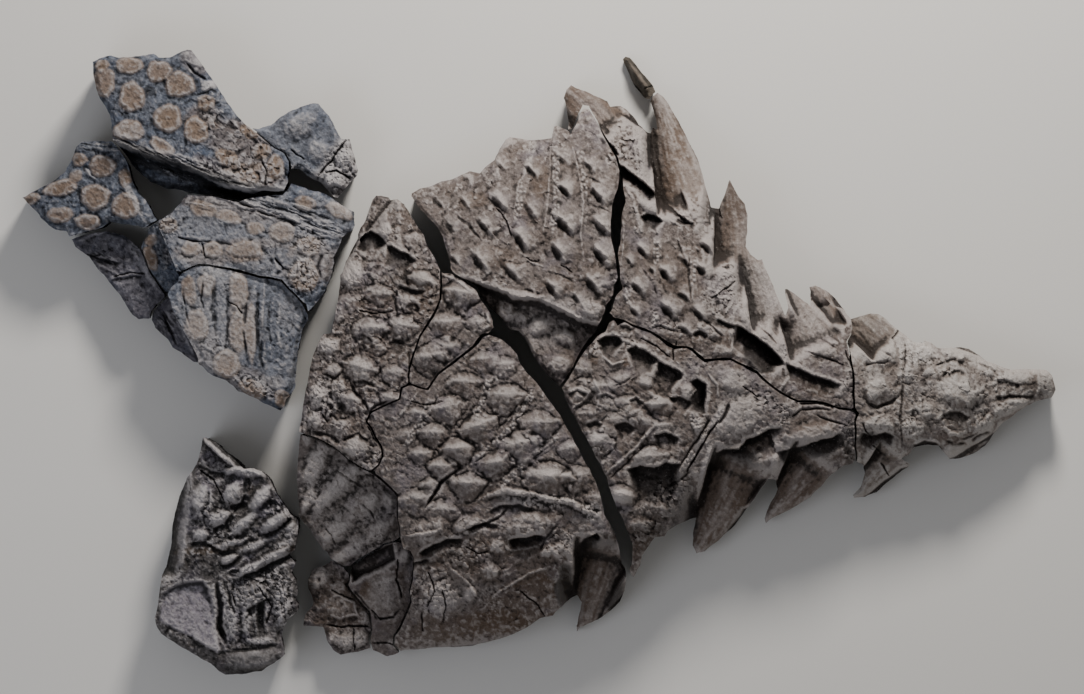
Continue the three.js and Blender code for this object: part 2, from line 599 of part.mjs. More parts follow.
// Rear end of the trunk on the left, knobbly, with a dark pit near its top.
const rearTrunk = {
  outline: [
    [371, 199], [375, 194], [381, 194], [389, 196], [391, 199], [398, 198], [406, 204], [412, 215],
    [420, 228], [425, 234], [431, 249], [439, 263], [441, 270], [441, 285], [440, 299], [436, 309],
    [430, 319], [424, 328], [420, 335], [417, 345], [413, 356], [410, 366], [409, 376], [410, 383],
    [402, 387], [400, 398], [388, 403], [371, 411], [367, 421], [372, 428], [376, 437], [382, 446],
    [383, 455], [379, 464], [372, 470], [362, 465], [351, 459], [340, 449], [329, 442], [318, 437],
    [306, 433], [299, 430], [301, 420], [303, 405], [306, 390], [309, 372], [313, 355], [318, 342],
    [324, 333], [332, 332], [334, 318], [337, 303], [339, 288], [340, 275], [345, 262], [350, 250],
    [356, 238], [361, 226], [366, 213],
  ],
  base: bodyHeight,
  edge: JOINT_EDGE,
  plates: [[423, 282, 15, 24], [395, 232, 14, 16], [372, 330, 15, 20], [362, 362, 15, 20], [385, 425, 15, 18]],
  lumps: [
    [360, 280, 14, 12, 0, 16], [328, 345, 12, 9, 0, 18], [350, 396, 12, 14, 30, 22], [320, 388, 12, 14, 0, 12],
    [345, 425, 14, 8, 0, 18], [358, 450, 13, 12, 0, 22], [316, 420, 10, 8, -30, 12], [412, 250, 12, 12, 0, 12],
    [395, 305, 14, 12, 0, 10],
  ],
  pits: [[375, 246, 14, 9, -12, 40], [409, 264, 13, 8, -35, 32], [343, 408, 5, 7, 0, 14]],
  ridges: [[[[352, 386], [362, 398], [370, 409]], 3, -16], [[[370, 424], [376, 436], [383, 447]], 2.5, -10]],
};

// Right flank at the rear: broken layers running up towards the back.
const rightFlank = {
  outline: [
    [371, 473], [380, 480], [390, 489], [396, 496], [396, 506], [396, 517], [398, 528], [398, 538],
    [391, 541], [383, 543], [376, 548], [366, 554], [356, 560], [349, 566], [343, 567], [338, 563],
    [330, 558], [322, 551], [318, 545], [313, 538], [309, 530], [303, 521], [299, 514], [297, 500],
    [296, 480], [297, 460], [300, 434], [306, 436], [317, 439], [328, 444], [339, 452], [350, 461],
    [361, 468],
  ],
  base: slab([345, 505], 225, 0.02, 0.42),
  edge: JOINT_EDGE,
  lumps: [[345, 478, 14, 9, 10, 16], [375, 505, 14, 9, 20, 14], [385, 532, 11, 9, 0, 18], [312, 462, 8, 16, 0, 14]],
  ridges: [
    [[[318, 522], [335, 505], [352, 490]], 6, 26],
    [[[330, 546], [350, 530], [372, 515]], 6, 24],
    [[[347, 562], [372, 547], [394, 537]], 5, 24],
    [[[334, 512], [352, 500], [372, 486]], 4, -20],
    [[[340, 536], [358, 523], [384, 512]], 4, -22],
  ],
};

// Low block in the belly recess behind the right trunk.
const rightBelly = {
  outline: [
    [401, 543], [402, 549], [409, 552], [412, 558], [412, 566], [411, 578], [408, 591], [409, 601],
    [406, 610], [402, 619], [398, 628], [392, 637], [391, 646], [398, 656], [386, 659], [373, 653],
    [370, 641], [372, 631], [371, 620], [370, 612], [364, 606], [358, 599], [352, 592], [348, 586],
    [350, 581], [350, 574], [351, 569], [358, 563], [368, 557], [378, 551], [385, 546], [393, 544],
  ],
  base: slab([385, 600], 140, 0.05, 0.15),
  edge: JOINT_EDGE,
  lumps: [[386, 590, 20, 20, 0, 22], [405, 556, 6, 9, -25, 26], [392, 575, 12, 9, 0, 10]],
  pits: [[370, 564, 16, 9, 25, 34]],
  ridges: [[[[372, 617], [383, 619], [392, 614]], 2.5, -16], [[[372, 643], [385, 643], [392, 646]], 2.5, -20]],
};

// Crumbly corner of the belly, with a worn oval plate.
const bellyCorner = {
  outline: [
    [343, 569], [347, 575], [347, 581], [344, 586], [348, 593], [354, 600], [360, 608], [366, 613],
    [368, 620], [369, 631], [367, 642], [369, 651], [357, 655], [346, 657], [339, 658], [331, 653],
    [325, 645], [323, 637], [321, 630], [301, 628], [301, 621], [303, 616], [307, 611], [311, 605],
    [309, 597], [306, 590], [306, 580], [309, 571], [318, 567], [323, 566], [330, 562], [337, 566],
  ],
  base: slab([338, 610], 105, 0, 0.12),
  edge: BROKEN_EDGE,
  lumps: [
    [317, 582, 9, 12, -20, 26], [338, 608, 20, 11, 0, 22], [362, 619, 7, 7, 0, 12], [345, 643, 9, 8, 0, 22],
    [359, 640, 8, 8, 0, 20], [335, 590, 10, 8, 0, 10],
  ],
  ridges: [[[[332, 630], [350, 629], [368, 628]], 3, -26]],
};

// Right trunk: diagonal rows of keeled plates, an edge ridge, then the flank falling to the
// floor with a pit in it, and a drooping spine at the front corner.
const rightTrunk = {
  outline: [
    [497, 336], [503, 339], [512, 346], [518, 353], [521, 362], [528, 372], [538, 382], [545, 392],
    [552, 402], [560, 412], [566, 424], [572, 434], [579, 447], [584, 458], [590, 467], [595, 478],
    [600, 490], [603, 501], [605, 513], [611, 524], [617, 536], [620, 548], [622, 560], [625, 571],
    [627, 581], [626, 592], [621, 604], [611, 614], [600, 622], [588, 627], [581, 630], [577, 635],
    [576, 628], [579, 614], [581, 604], [577, 598], [568, 603], [560, 609], [553, 617], [540, 620],
    [531, 627], [522, 632], [512, 637], [500, 641], [485, 645], [472, 649], [455, 650], [440, 650],
    [425, 651], [410, 652], [401, 652], [395, 645], [395, 637], [401, 629], [405, 620], [409, 611],
    [413, 601], [411, 592], [414, 579], [415, 566], [415, 556], [412, 549], [405, 547], [403, 540],
    [402, 528], [400, 516], [400, 505], [400, 493], [393, 485], [383, 476], [374, 470], [381, 464],
    [385, 456], [384, 446], [378, 436], [374, 427], [369, 421], [373, 413], [389, 405], [402, 399],
    [404, 388], [412, 385], [421, 388], [430, 390], [435, 382], [440, 375], [447, 370], [457, 363],
    [467, 355], [476, 348], [480, 344], [484, 338], [490, 336],
  ],
  base: bodyHeight,
  edge: JOINT_EDGE,
  plates: [
    [462, 389, 15, 22], [450, 413, 16, 28], [435, 438, 14, 26], [418, 458, 12, 16], [480, 356, 12, 18],
    [505, 401, 16, 28], [482, 431, 18, 34], [463, 456, 16, 34], [443, 472, 14, 28], [505, 370, 13, 16],
    [535, 395, 13, 18], [543, 425, 18, 32], [522, 449, 18, 34], [497, 468, 17, 34], [470, 490, 17, 30],
    [575, 452, 14, 20], [553, 480, 22, 40], [588, 482, 12, 18], [440, 510, 14, 16],
  ],
  lumps: [
    [528, 524, 28, 13, 8, 22], [430, 530, 18, 11, 20, 22], [555, 575, 26, 18, 20, 18], [440, 595, 22, 16, 0, 16],
    [490, 575, 14, 12, 40, 18], [480, 615, 30, 14, 15, 12], [603, 560, 12, 24, 0, 14],
  ],
  pits: [[525, 550, 17, 10, 20, 46], [588, 548, 11, 13, -20, 50], [440, 552, 24, 7, 12, 34], [497, 513, 10, 6, 30, 16]],
  ridges: [
    [[[482, 501], [500, 492], [520, 492], [545, 496], [575, 500], [602, 512]], 6, 30],
    [[[449, 478], [440, 485], [431, 498], [424, 509]], 4, -34],
    [[[455, 374], [440, 392], [428, 412], [412, 446]], 3.5, 12],
    [[[487, 396], [477, 413], [462, 440]], 3.5, 10],
    [[[568, 428], [545, 447], [520, 463], [498, 482]], 3.5, 14],
    [[[576, 556], [580, 578], [580, 598]], 3.5, -24],
  ],
  spines: [{ root: [603, 545], tip: [580, 626], width: [20, 7], top: [190, 70], thick: 70 }],
};

// Left hip: a large block with round armour discs on its top and layered sides below them.
const leftHip = {
  outline: [
    [93, 62], [100, 58], [111, 55], [120, 57], [133, 56], [148, 54], [155, 53], [160, 57], [170, 57],
    [183, 51], [188, 49], [193, 50], [200, 59], [205, 67], [211, 75], [219, 86], [226, 97], [235, 110],
    [245, 122], [252, 129], [262, 137], [275, 148], [285, 153], [290, 162], [289, 172], [288, 182],
    [284, 191], [275, 191], [262, 191], [247, 196], [240, 199], [220, 195], [200, 193], [180, 191],
    [165, 189], [150, 183], [140, 175], [131, 163], [122, 150], [115, 140], [112, 132], [112, 124],
    [110, 116], [106, 108], [100, 100], [97, 90], [94, 78],
  ],
  base: slab([185, 112], 262, -0.05, -0.04),
  edge: BROKEN_EDGE,
  lumps: [
    [106, 78, 10, 11, 0, 14], [133, 66, 12, 9, 0, 16], [158, 72, 12, 11, 0, 18], [183, 85, 13, 12, 0, 18],
    [133, 100, 13, 12, 0, 18], [168, 120, 14, 12, 0, 20], [129, 131, 13, 11, 0, 18], [208, 97, 12, 12, 0, 16],
    [201, 130, 14, 13, 0, 18], [165, 147, 13, 7, -30, 14], [222, 135, 11, 11, 0, 22], [243, 134, 10, 9, 0, 24],
    [232, 152, 11, 10, 0, 22], [254, 149, 11, 10, 0, 24], [241, 171, 12, 9, 0, 22], [275, 168, 12, 11, 0, 22],
  ],
  pits: [[152, 93, 4, 6, 0, 16], [188, 108, 7, 5, 20, 10]],
  shelves: [[
    [
      [108, 136], [120, 142], [150, 150], [175, 157], [200, 169], [225, 181], [250, 186], [290, 188],
      [292, 215], [190, 212], [130, 190], [104, 150],
    ], 130, 18,
  ]],
};

// Grey edge block at the outer corner of the left hip.
const leftHipEdge = {
  outline: [
    [252, 129], [257, 127], [271, 124], [280, 116], [290, 110], [300, 106], [312, 102], [319, 102],
    [323, 107], [330, 115], [336, 127], [342, 137], [350, 137], [352, 143], [354, 152], [357, 163],
    [359, 170], [357, 176], [352, 181], [347, 188], [342, 194], [338, 197], [334, 196], [328, 190],
    [319, 183], [312, 180], [305, 175], [298, 170], [292, 170], [290, 162], [285, 153], [275, 148],
    [262, 137],
  ],
  base: slab([310, 150], 205, -0.2, 0.1),
  edge: BROKEN_EDGE,
  lumps: [[333, 180, 11, 11, 0, 22], [300, 125, 18, 12, 30, 16], [318, 150, 12, 12, 0, 14], [344, 160, 9, 10, 0, 16]],
  ridges: [[[[344, 140], [335, 156], [319, 174]], 3, -20], [[[325, 171], [337, 169], [350, 177]], 3, -16]],
};

// Rearmost hip block, rounded over with armour discs.
const rearHip = {
  outline: [
    [20, 197], [32, 190], [45, 184], [55, 178], [63, 171], [69, 162], [73, 152], [75, 146], [82, 141],
    [92, 140], [104, 140], [110, 141], [116, 145], [121, 152], [126, 160], [129, 170], [134, 182],
    [140, 192], [146, 199], [153, 210], [157, 220], [152, 222], [147, 226], [141, 228], [130, 226],
    [110, 223], [100, 227], [90, 230], [80, 233], [68, 236], [65, 232], [55, 231], [47, 226],
    [40, 219], [35, 212], [30, 208], [25, 203],
  ],
  base: slab([95, 190], 215, 0.08, 0.1),
  edge: BROKEN_EDGE,
  lumps: [
    [79, 159, 8, 8, 0, 14], [106, 165, 13, 13, 0, 20], [97, 197, 13, 13, 0, 20], [126, 207, 13, 12, 0, 20],
    [60, 190, 14, 8, 30, 18], [62, 214, 9, 9, 0, 14], [89, 220, 8, 7, 0, 12], [38, 199, 8, 6, 20, 12],
  ],
};

// Small long chunk between the hip blocks.
const hipChunk = {
  outline: [
    [147, 230], [152, 225], [156, 224], [159, 232], [164, 242], [169, 255], [175, 268], [178, 277],
    [177, 281], [171, 287], [167, 293], [163, 291], [158, 285], [152, 276], [147, 268], [144, 257],
    [141, 248], [141, 241], [146, 235],
  ],
  base: slab([160, 255], 160, 0, 0.25),
  edge: BROKEN_EDGE,
  lumps: [[152, 243, 7, 9, 20, 12], [162, 262, 8, 10, 20, 12]],
};

// Middle hip block: thin layers across its upper half, discs and blue matrix on the lower half.
const midHip = {
  outline: [
    [160, 221], [166, 216], [172, 212], [178, 205], [183, 199], [188, 196], [200, 197], [212, 197],
    [220, 199], [235, 203], [243, 202], [248, 200], [258, 198], [270, 196], [283, 196], [290, 189],
    [293, 183], [300, 185], [310, 189], [318, 191], [326, 195], [335, 201], [345, 206], [355, 211],
    [356, 214], [355, 225], [352, 231], [344, 238], [341, 245], [339, 250], [335, 258], [336, 262],
    [333, 275], [330, 283], [325, 293], [318, 303], [310, 312], [307, 304], [300, 298], [295, 292],
    [289, 287], [283, 279], [270, 276], [260, 275], [250, 272], [240, 269], [230, 267], [220, 266],
    [210, 264], [200, 263], [190, 267], [178, 272], [176, 267], [172, 257], [168, 247], [163, 234],
    [160, 226],
  ],
  base: slab([255, 240], 250, -0.04, 0.02),
  edge: BROKEN_EDGE,
  lumps: [
    [205, 208, 12, 10, 0, 16], [228, 218, 10, 9, 0, 14], [288, 235, 12, 11, 0, 18], [192, 246, 10, 10, 0, 16],
    [213, 250, 9, 9, 0, 14], [250, 250, 12, 11, 0, 18], [306, 205, 11, 9, 0, 14], [312, 250, 12, 11, 0, 18],
    [304, 280, 14, 12, 0, 20], [272, 262, 9, 8, 0, 12],
  ],
  ridges: [
    [[[250, 208], [290, 216], [340, 226]], 2.5, -12],
    [[[240, 218], [290, 226], [336, 238]], 2.5, -12],
  ],
};

// Right hip block: long bars of armour side by side with grooves between them.
const rightHip = {
  outline: [
    [169, 294], [172, 287], [180, 281], [180, 277], [185, 273], [193, 269], [200, 267], [210, 267],
    [220, 269], [230, 271], [240, 274], [250, 276], [262, 279], [272, 280], [281, 282], [286, 287],
    [290, 292], [297, 298], [302, 305], [306, 313], [309, 319], [305, 327], [303, 332], [300, 345],
    [298, 360], [297, 375], [296, 388], [292, 395], [287, 400], [285, 407], [280, 412], [272, 408],
    [262, 404], [252, 398], [243, 394], [237, 393], [232, 387], [225, 381], [215, 378], [207, 373],
    [200, 365], [198, 355], [194, 348], [190, 340], [185, 332], [182, 325], [176, 316], [173, 308],
    [171, 300],
  ],
  base: slab([240, 335], 225, -0.1, 0.1),
  edge: BROKEN_EDGE,
  lumps: [[200, 325, 9, 14, 0, 20], [225, 362, 12, 11, 0, 18], [250, 385, 12, 9, -20, 16], [276, 389, 10, 10, 0, 14]],
  ridges: [
    [[[190, 282], [190, 300]], 5, 16],
    [[[207, 276], [207, 303]], 6, 20],
    [[[236, 280], [237, 305]], 7, 20],
    [[[250, 288], [250, 325]], 4, 16],
    [[[233, 314], [232, 344]], 4, 18],
    [[[219, 280], [218, 320], [222, 345]], 3, -18],
    [[[264, 288], [264, 330], [258, 360]], 3, -18],
  ],
};

// Plain slabs of shale behind the belly.
const rearFlankSlab = {
  outline: [
    [68, 240], [80, 235], [95, 233], [105, 231], [112, 231], [120, 233], [127, 237], [133, 243],
    [140, 253], [145, 262], [149, 273], [155, 281], [160, 289], [164, 296], [160, 301], [155, 305],
    [150, 311], [148, 319], [137, 320], [130, 315], [123, 305], [118, 296], [110, 287], [103, 278],
    [95, 270], [90, 263], [86, 257], [80, 253], [72, 247],
  ],
  base: slab([115, 272], 128, 0.12, -0.08),
  edge: JOINT_EDGE,
  ridges: [[[[112, 277], [128, 273], [143, 272]], 2.5, -8]],
};

const lowerFlankSlab = {
  outline: [
    [163, 299], [167, 296], [169, 300], [172, 310], [176, 320], [180, 328], [186, 338], [190, 346],
    [196, 358], [196, 364], [192, 363], [185, 358], [177, 352], [170, 348], [165, 340], [158, 334],
    [152, 328], [150, 320], [151, 312], [156, 305], [161, 301],
  ],
  base: slab([172, 330], 115, 0, 0),
  edge: JOINT_EDGE,
};

// Hind limb: long bones in dark rock, a rising ridge at the top, and a flat cut face at the
// lower left with a rounded mass under it.
const hindLimb = {
  outline: [
    [202, 437], [207, 436], [218, 442], [228, 452], [245, 467], [255, 467], [263, 470], [270, 476],
    [274, 483], [279, 493], [285, 502], [290, 510], [293, 515], [298, 520], [300, 530], [300, 535],
    [297, 545], [296, 550], [291, 555], [298, 562], [293, 572], [298, 580], [299, 592], [297, 600],
    [300, 604], [299, 610], [295, 615], [291, 618], [285, 627], [283, 637], [285, 647], [286, 655],
    [280, 660], [270, 667], [262, 672], [245, 675], [225, 676], [218, 672], [210, 665], [200, 660],
    [190, 654], [175, 645], [160, 635], [155, 628], [153, 618], [157, 600], [158, 590], [160, 575],
    [164, 565], [168, 550], [169, 535], [171, 520], [175, 505], [180, 490], [186, 478], [192, 470],
    [197, 460], [200, 450],
  ],
  base: slab([235, 555], 232, 0.12, 0.06),
  edge: BROKEN_EDGE,
  lumps: [
    [237, 490, 11, 8, 40, 24], [203, 502, 9, 14, -15, 22], [222, 520, 12, 8, 30, 24], [264, 496, 13, 8, 35, 26],
    [272, 525, 15, 8, 35, 26], [250, 532, 15, 7, 30, 22], [201, 535, 9, 7, 30, 16], [223, 543, 10, 6, 20, 16],
    [254, 566, 19, 6, 15, 22], [280, 552, 12, 7, 30, 20], [260, 600, 16, 12, 0, 16], [282, 590, 11, 12, 0, 14],
    [255, 657, 26, 12, 8, 26],
  ],
  pits: [[240, 508, 9, 5, 30, 22], [236, 545, 8, 5, 0, 16]],
  ridges: [
    [[[203, 438], [222, 457], [244, 468]], 5, 34],
    [[[221, 584], [219, 612], [224, 640]], 4, -44],
  ],
  shelves: [
    [[
      [160, 590], [175, 583], [190, 580], [205, 579], [210, 588], [215, 600], [216, 615], [218, 630],
      [222, 645], [226, 652], [220, 658], [205, 650], [190, 642], [168, 633], [150, 625], [152, 606],
    ], 46, 4],
    [[[160, 470], [192, 466], [196, 490], [190, 520], [186, 560], [182, 580], [150, 585], [150, 520]], 70, 14],
  ],
};

const fossil = new THREE.Group();
fossil.add(
  block('head_block', skullStone, head),
  block('left_shoulder_block', trunkStone, leftShoulder),
  block('left_shoulder_spine_tip', spineSheath, leftSpineTip),
  block('right_shoulder_block', trunkStone, rightShoulder),
  block('left_trunk_block', trunkStone, leftTrunk),
  block('right_trunk_block', trunkStone, rightTrunk),
  block('back_wedge_block', trunkStone, backWedge),
  block('rear_trunk_block', trunkStone, rearTrunk),
  block('right_flank_block', trunkStone, rightFlank),
  block('right_belly_block', trunkStone, rightBelly),
  block('belly_corner_block', trunkStone, bellyCorner),
  block('left_hip_block', hipStone, leftHip),
  block('left_hip_edge_block', hipStone, leftHipEdge),
  block('rear_hip_block', hipStone, rearHip),
  block('hip_chunk', hipStone, hipChunk),
  block('mid_hip_block', hipStone, midHip),
  block('right_hip_block', hipStone, rightHip),
  block('rear_flank_slab', shale, rearFlankSlab),
  block('lower_flank_slab', shale, lowerFlankSlab),
  block('hind_limb_block', limbStone, hindLimb),
);

export default fossil;
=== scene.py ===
import math

import bpy
import numpy as np
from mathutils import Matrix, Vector
from mathutils.geometry import delaunay_2d_cdt


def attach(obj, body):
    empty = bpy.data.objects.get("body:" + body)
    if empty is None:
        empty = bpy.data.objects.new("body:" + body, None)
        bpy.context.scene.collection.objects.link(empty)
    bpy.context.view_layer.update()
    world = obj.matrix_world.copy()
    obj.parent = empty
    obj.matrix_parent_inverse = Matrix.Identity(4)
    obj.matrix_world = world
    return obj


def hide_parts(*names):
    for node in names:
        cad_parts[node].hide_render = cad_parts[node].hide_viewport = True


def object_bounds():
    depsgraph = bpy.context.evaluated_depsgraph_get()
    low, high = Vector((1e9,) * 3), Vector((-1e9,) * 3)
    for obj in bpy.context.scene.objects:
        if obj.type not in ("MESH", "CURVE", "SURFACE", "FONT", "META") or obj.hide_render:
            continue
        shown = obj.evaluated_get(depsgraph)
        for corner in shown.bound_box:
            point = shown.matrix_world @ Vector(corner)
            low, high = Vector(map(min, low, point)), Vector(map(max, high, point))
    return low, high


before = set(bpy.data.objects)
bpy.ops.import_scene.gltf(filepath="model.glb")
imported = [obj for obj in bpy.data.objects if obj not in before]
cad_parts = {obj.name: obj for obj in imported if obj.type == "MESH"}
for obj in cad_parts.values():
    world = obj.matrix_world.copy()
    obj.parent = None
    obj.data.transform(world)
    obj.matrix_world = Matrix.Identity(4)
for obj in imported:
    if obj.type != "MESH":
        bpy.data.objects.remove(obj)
cad_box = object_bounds()


# Left trunk block: grey-brown fossil skin turned to stone, with four rows of keeled plates and
# strips of small white beads between them. It steps down to a low shelf, painted dark as shade
# under its edge, by the back's ridge, where a slice of it broke away.
BODY_MM, BODY_PX = 3015, 1039  # snout to hips, as a real size and in the photograph
MM_PER_PX = BODY_MM / BODY_PX
CENTRE_PX = np.array([539.5, 362.5])  # the photograph's place that is the frame's origin
STEP = 2.75  # spacing of surface points
WARP, WARP_SIZE = 4.0, 55  # how far the forms wander from their drawn places, and how slowly
JAG, JAG_SIZE = 3.0, 19  # how far broken edges wander besides
CRACK_MM, CRACK_DEPTH_MM, CRACK_REACH_MM = 2.1, 9, 14
BEAD_MM, BEAD_STRIP_PX = 11.5, 7.2  # one white scute, and the width of a strip of them
JOINT_MM = 24.0  # blocks nearer each other than this were once one
HAIRLINE_MM = 4.5  # what is left open between them
CLOSING_MM, CLOSING_FADE_MM = 26, 8  # gaps up to the first close up, fading over the second
WALL_LEVELS = 11

# Stations along the body: pixel x, then the y of left edge, ridge and right edge, then the
# heights there in millimetres.
BODY = np.array([
    [290, 330, 430, 660, 190, 270, 70],
    [400, 190, 350, 656, 190, 385, 75],
    [500, 138, 325, 645, 170, 420, 75],
    [600, 100, 325, 620, 150, 405, 75],
    [700, 165, 350, 520, 140, 370, 80],
    [790, 292, 382, 500, 130, 310, 80],
    [870, 316, 384, 475, 140, 270, 70],
    [950, 345, 384, 462, 150, 245, 80],
    [1010, 366, 385, 426, 120, 185, 75],
    [1060, 369, 385, 402, 90, 135, 65],
], float)


def plan(points):
    """Places in the photograph to millimetres in the frame's plan."""
    return (np.asarray(points, float) - CENTRE_PX) * [MM_PER_PX, -MM_PER_PX]


def pixels(x, y):
    """Millimetres in the frame's plan to places in the photograph."""
    return x / MM_PER_PX + CENTRE_PX[0], CENTRE_PX[1] - y / MM_PER_PX


def ease(t):
    """0 up to nought, 1 from one on, and a smooth rise between."""
    t = np.clip(t, 0, 1)
    return t * t * (3 - 2 * t)


def fading(along, rate, least=0.0):
    """Full along the middle of a line, less towards both of its ends."""
    return ease(np.minimum(along, 1 - along) * rate + least)


def body(x, y):
    """Height of the whole animal's back, arched across from edge to edge at each station."""
    px, py = pixels(x, y)
    left, ridge, right, left_z, ridge_z, right_z = (
        np.interp(px, BODY[:, 0], column) for column in BODY[:, 1:].T
    )
    on_left = py < ridge
    edge = np.where(on_left, left, right)
    edge_z = np.where(on_left, left_z, right_z)
    across = np.minimum((py - ridge) / (edge - ridge), 1.4)
    arch = np.sqrt(np.maximum(0, 1 - np.minimum(across, 1) ** 2.2))
    return edge_z + (ridge_z - edge_z) * arch - np.maximum(0, across - 1) * edge_z * 1.5


def slab(at, top, rise_x, rise_y):
    """A flat tilted top, its height given at one place of the photograph."""
    centre = plan(at)
    return lambda x, y: top + rise_x * (x - centre[0]) + rise_y * (y - centre[1])


def value_noise(x, y, size, seed):
    """Smooth random values from -1 to 1, with lumps about size millimetres apart."""
    table = np.random.default_rng(seed).uniform(-1, 1, (256, 256))
    turn = seed * 0.7 + 0.4
    u = (x * math.cos(turn) + y * math.sin(turn)) / size
    v = (y * math.cos(turn) - x * math.sin(turn)) / size
    i, j = np.floor(u).astype(int), np.floor(v).astype(int)
    fu, fv = ease(u - i), ease(v - j)
    i0, i1, j0, j1 = i & 255, (i + 1) & 255, j & 255, (j + 1) & 255
    low = table[i0, j0] * (1 - fu) + table[i1, j0] * fu
    high = table[i0, j1] * (1 - fu) + table[i1, j1] * fu
    return low * (1 - fv) + high * fv


def rough(x, y, size, seed, octaves=4, gain=0.5):
    """Value noise with finer and finer noise on it, from -1 to 1."""
    total = sum(value_noise(x, y, size / 2**k, seed + k) * gain**k for k in range(octaves))
    return total / sum(gain**k for k in range(octaves))


def creases(x, y, size, seed, octaves=3):
    """0 on the crests to -1 in narrow creases."""
    total = sum(
        (1 - np.abs(value_noise(x, y, size / 2**k, seed + k)) * 2) * 0.5**k for k in range(octaves)
    )
    return -np.clip(total / 1.75, 0, 1)


def chips(x, y, size, seed):
    """Scattered chips. For each place: the flat tilted face of its chip (-1 to 1), the gap to
    the next chip and the way to its own chip's middle."""
    chance = np.random.default_rng(seed).uniform(-1, 1, (64, 64, 5))
    u, v = x / size, y / size
    i, j = np.floor(u).astype(int), np.floor(v).astype(int)
    nearest = np.full(u.shape, 9.0)
    second, face = nearest.copy(), np.zeros(u.shape)
    for di in (-1, 0, 1):
        for dj in (-1, 0, 1):
            one = chance[(i + di) & 63, (j + dj) & 63]
            du, dv = u - i - di - 0.5 - 0.42 * one[..., 0], v - j - dj - 0.5 - 0.42 * one[..., 1]
            d = np.hypot(du, dv)
            closer = d < nearest
            second = np.where(closer, nearest, np.minimum(second, d))
            face = np.where(closer, 0.5 * one[..., 2] + one[..., 3] * du + one[..., 4] * dv, face)
            nearest = np.where(closer, d, nearest)
    return face, second - nearest, nearest


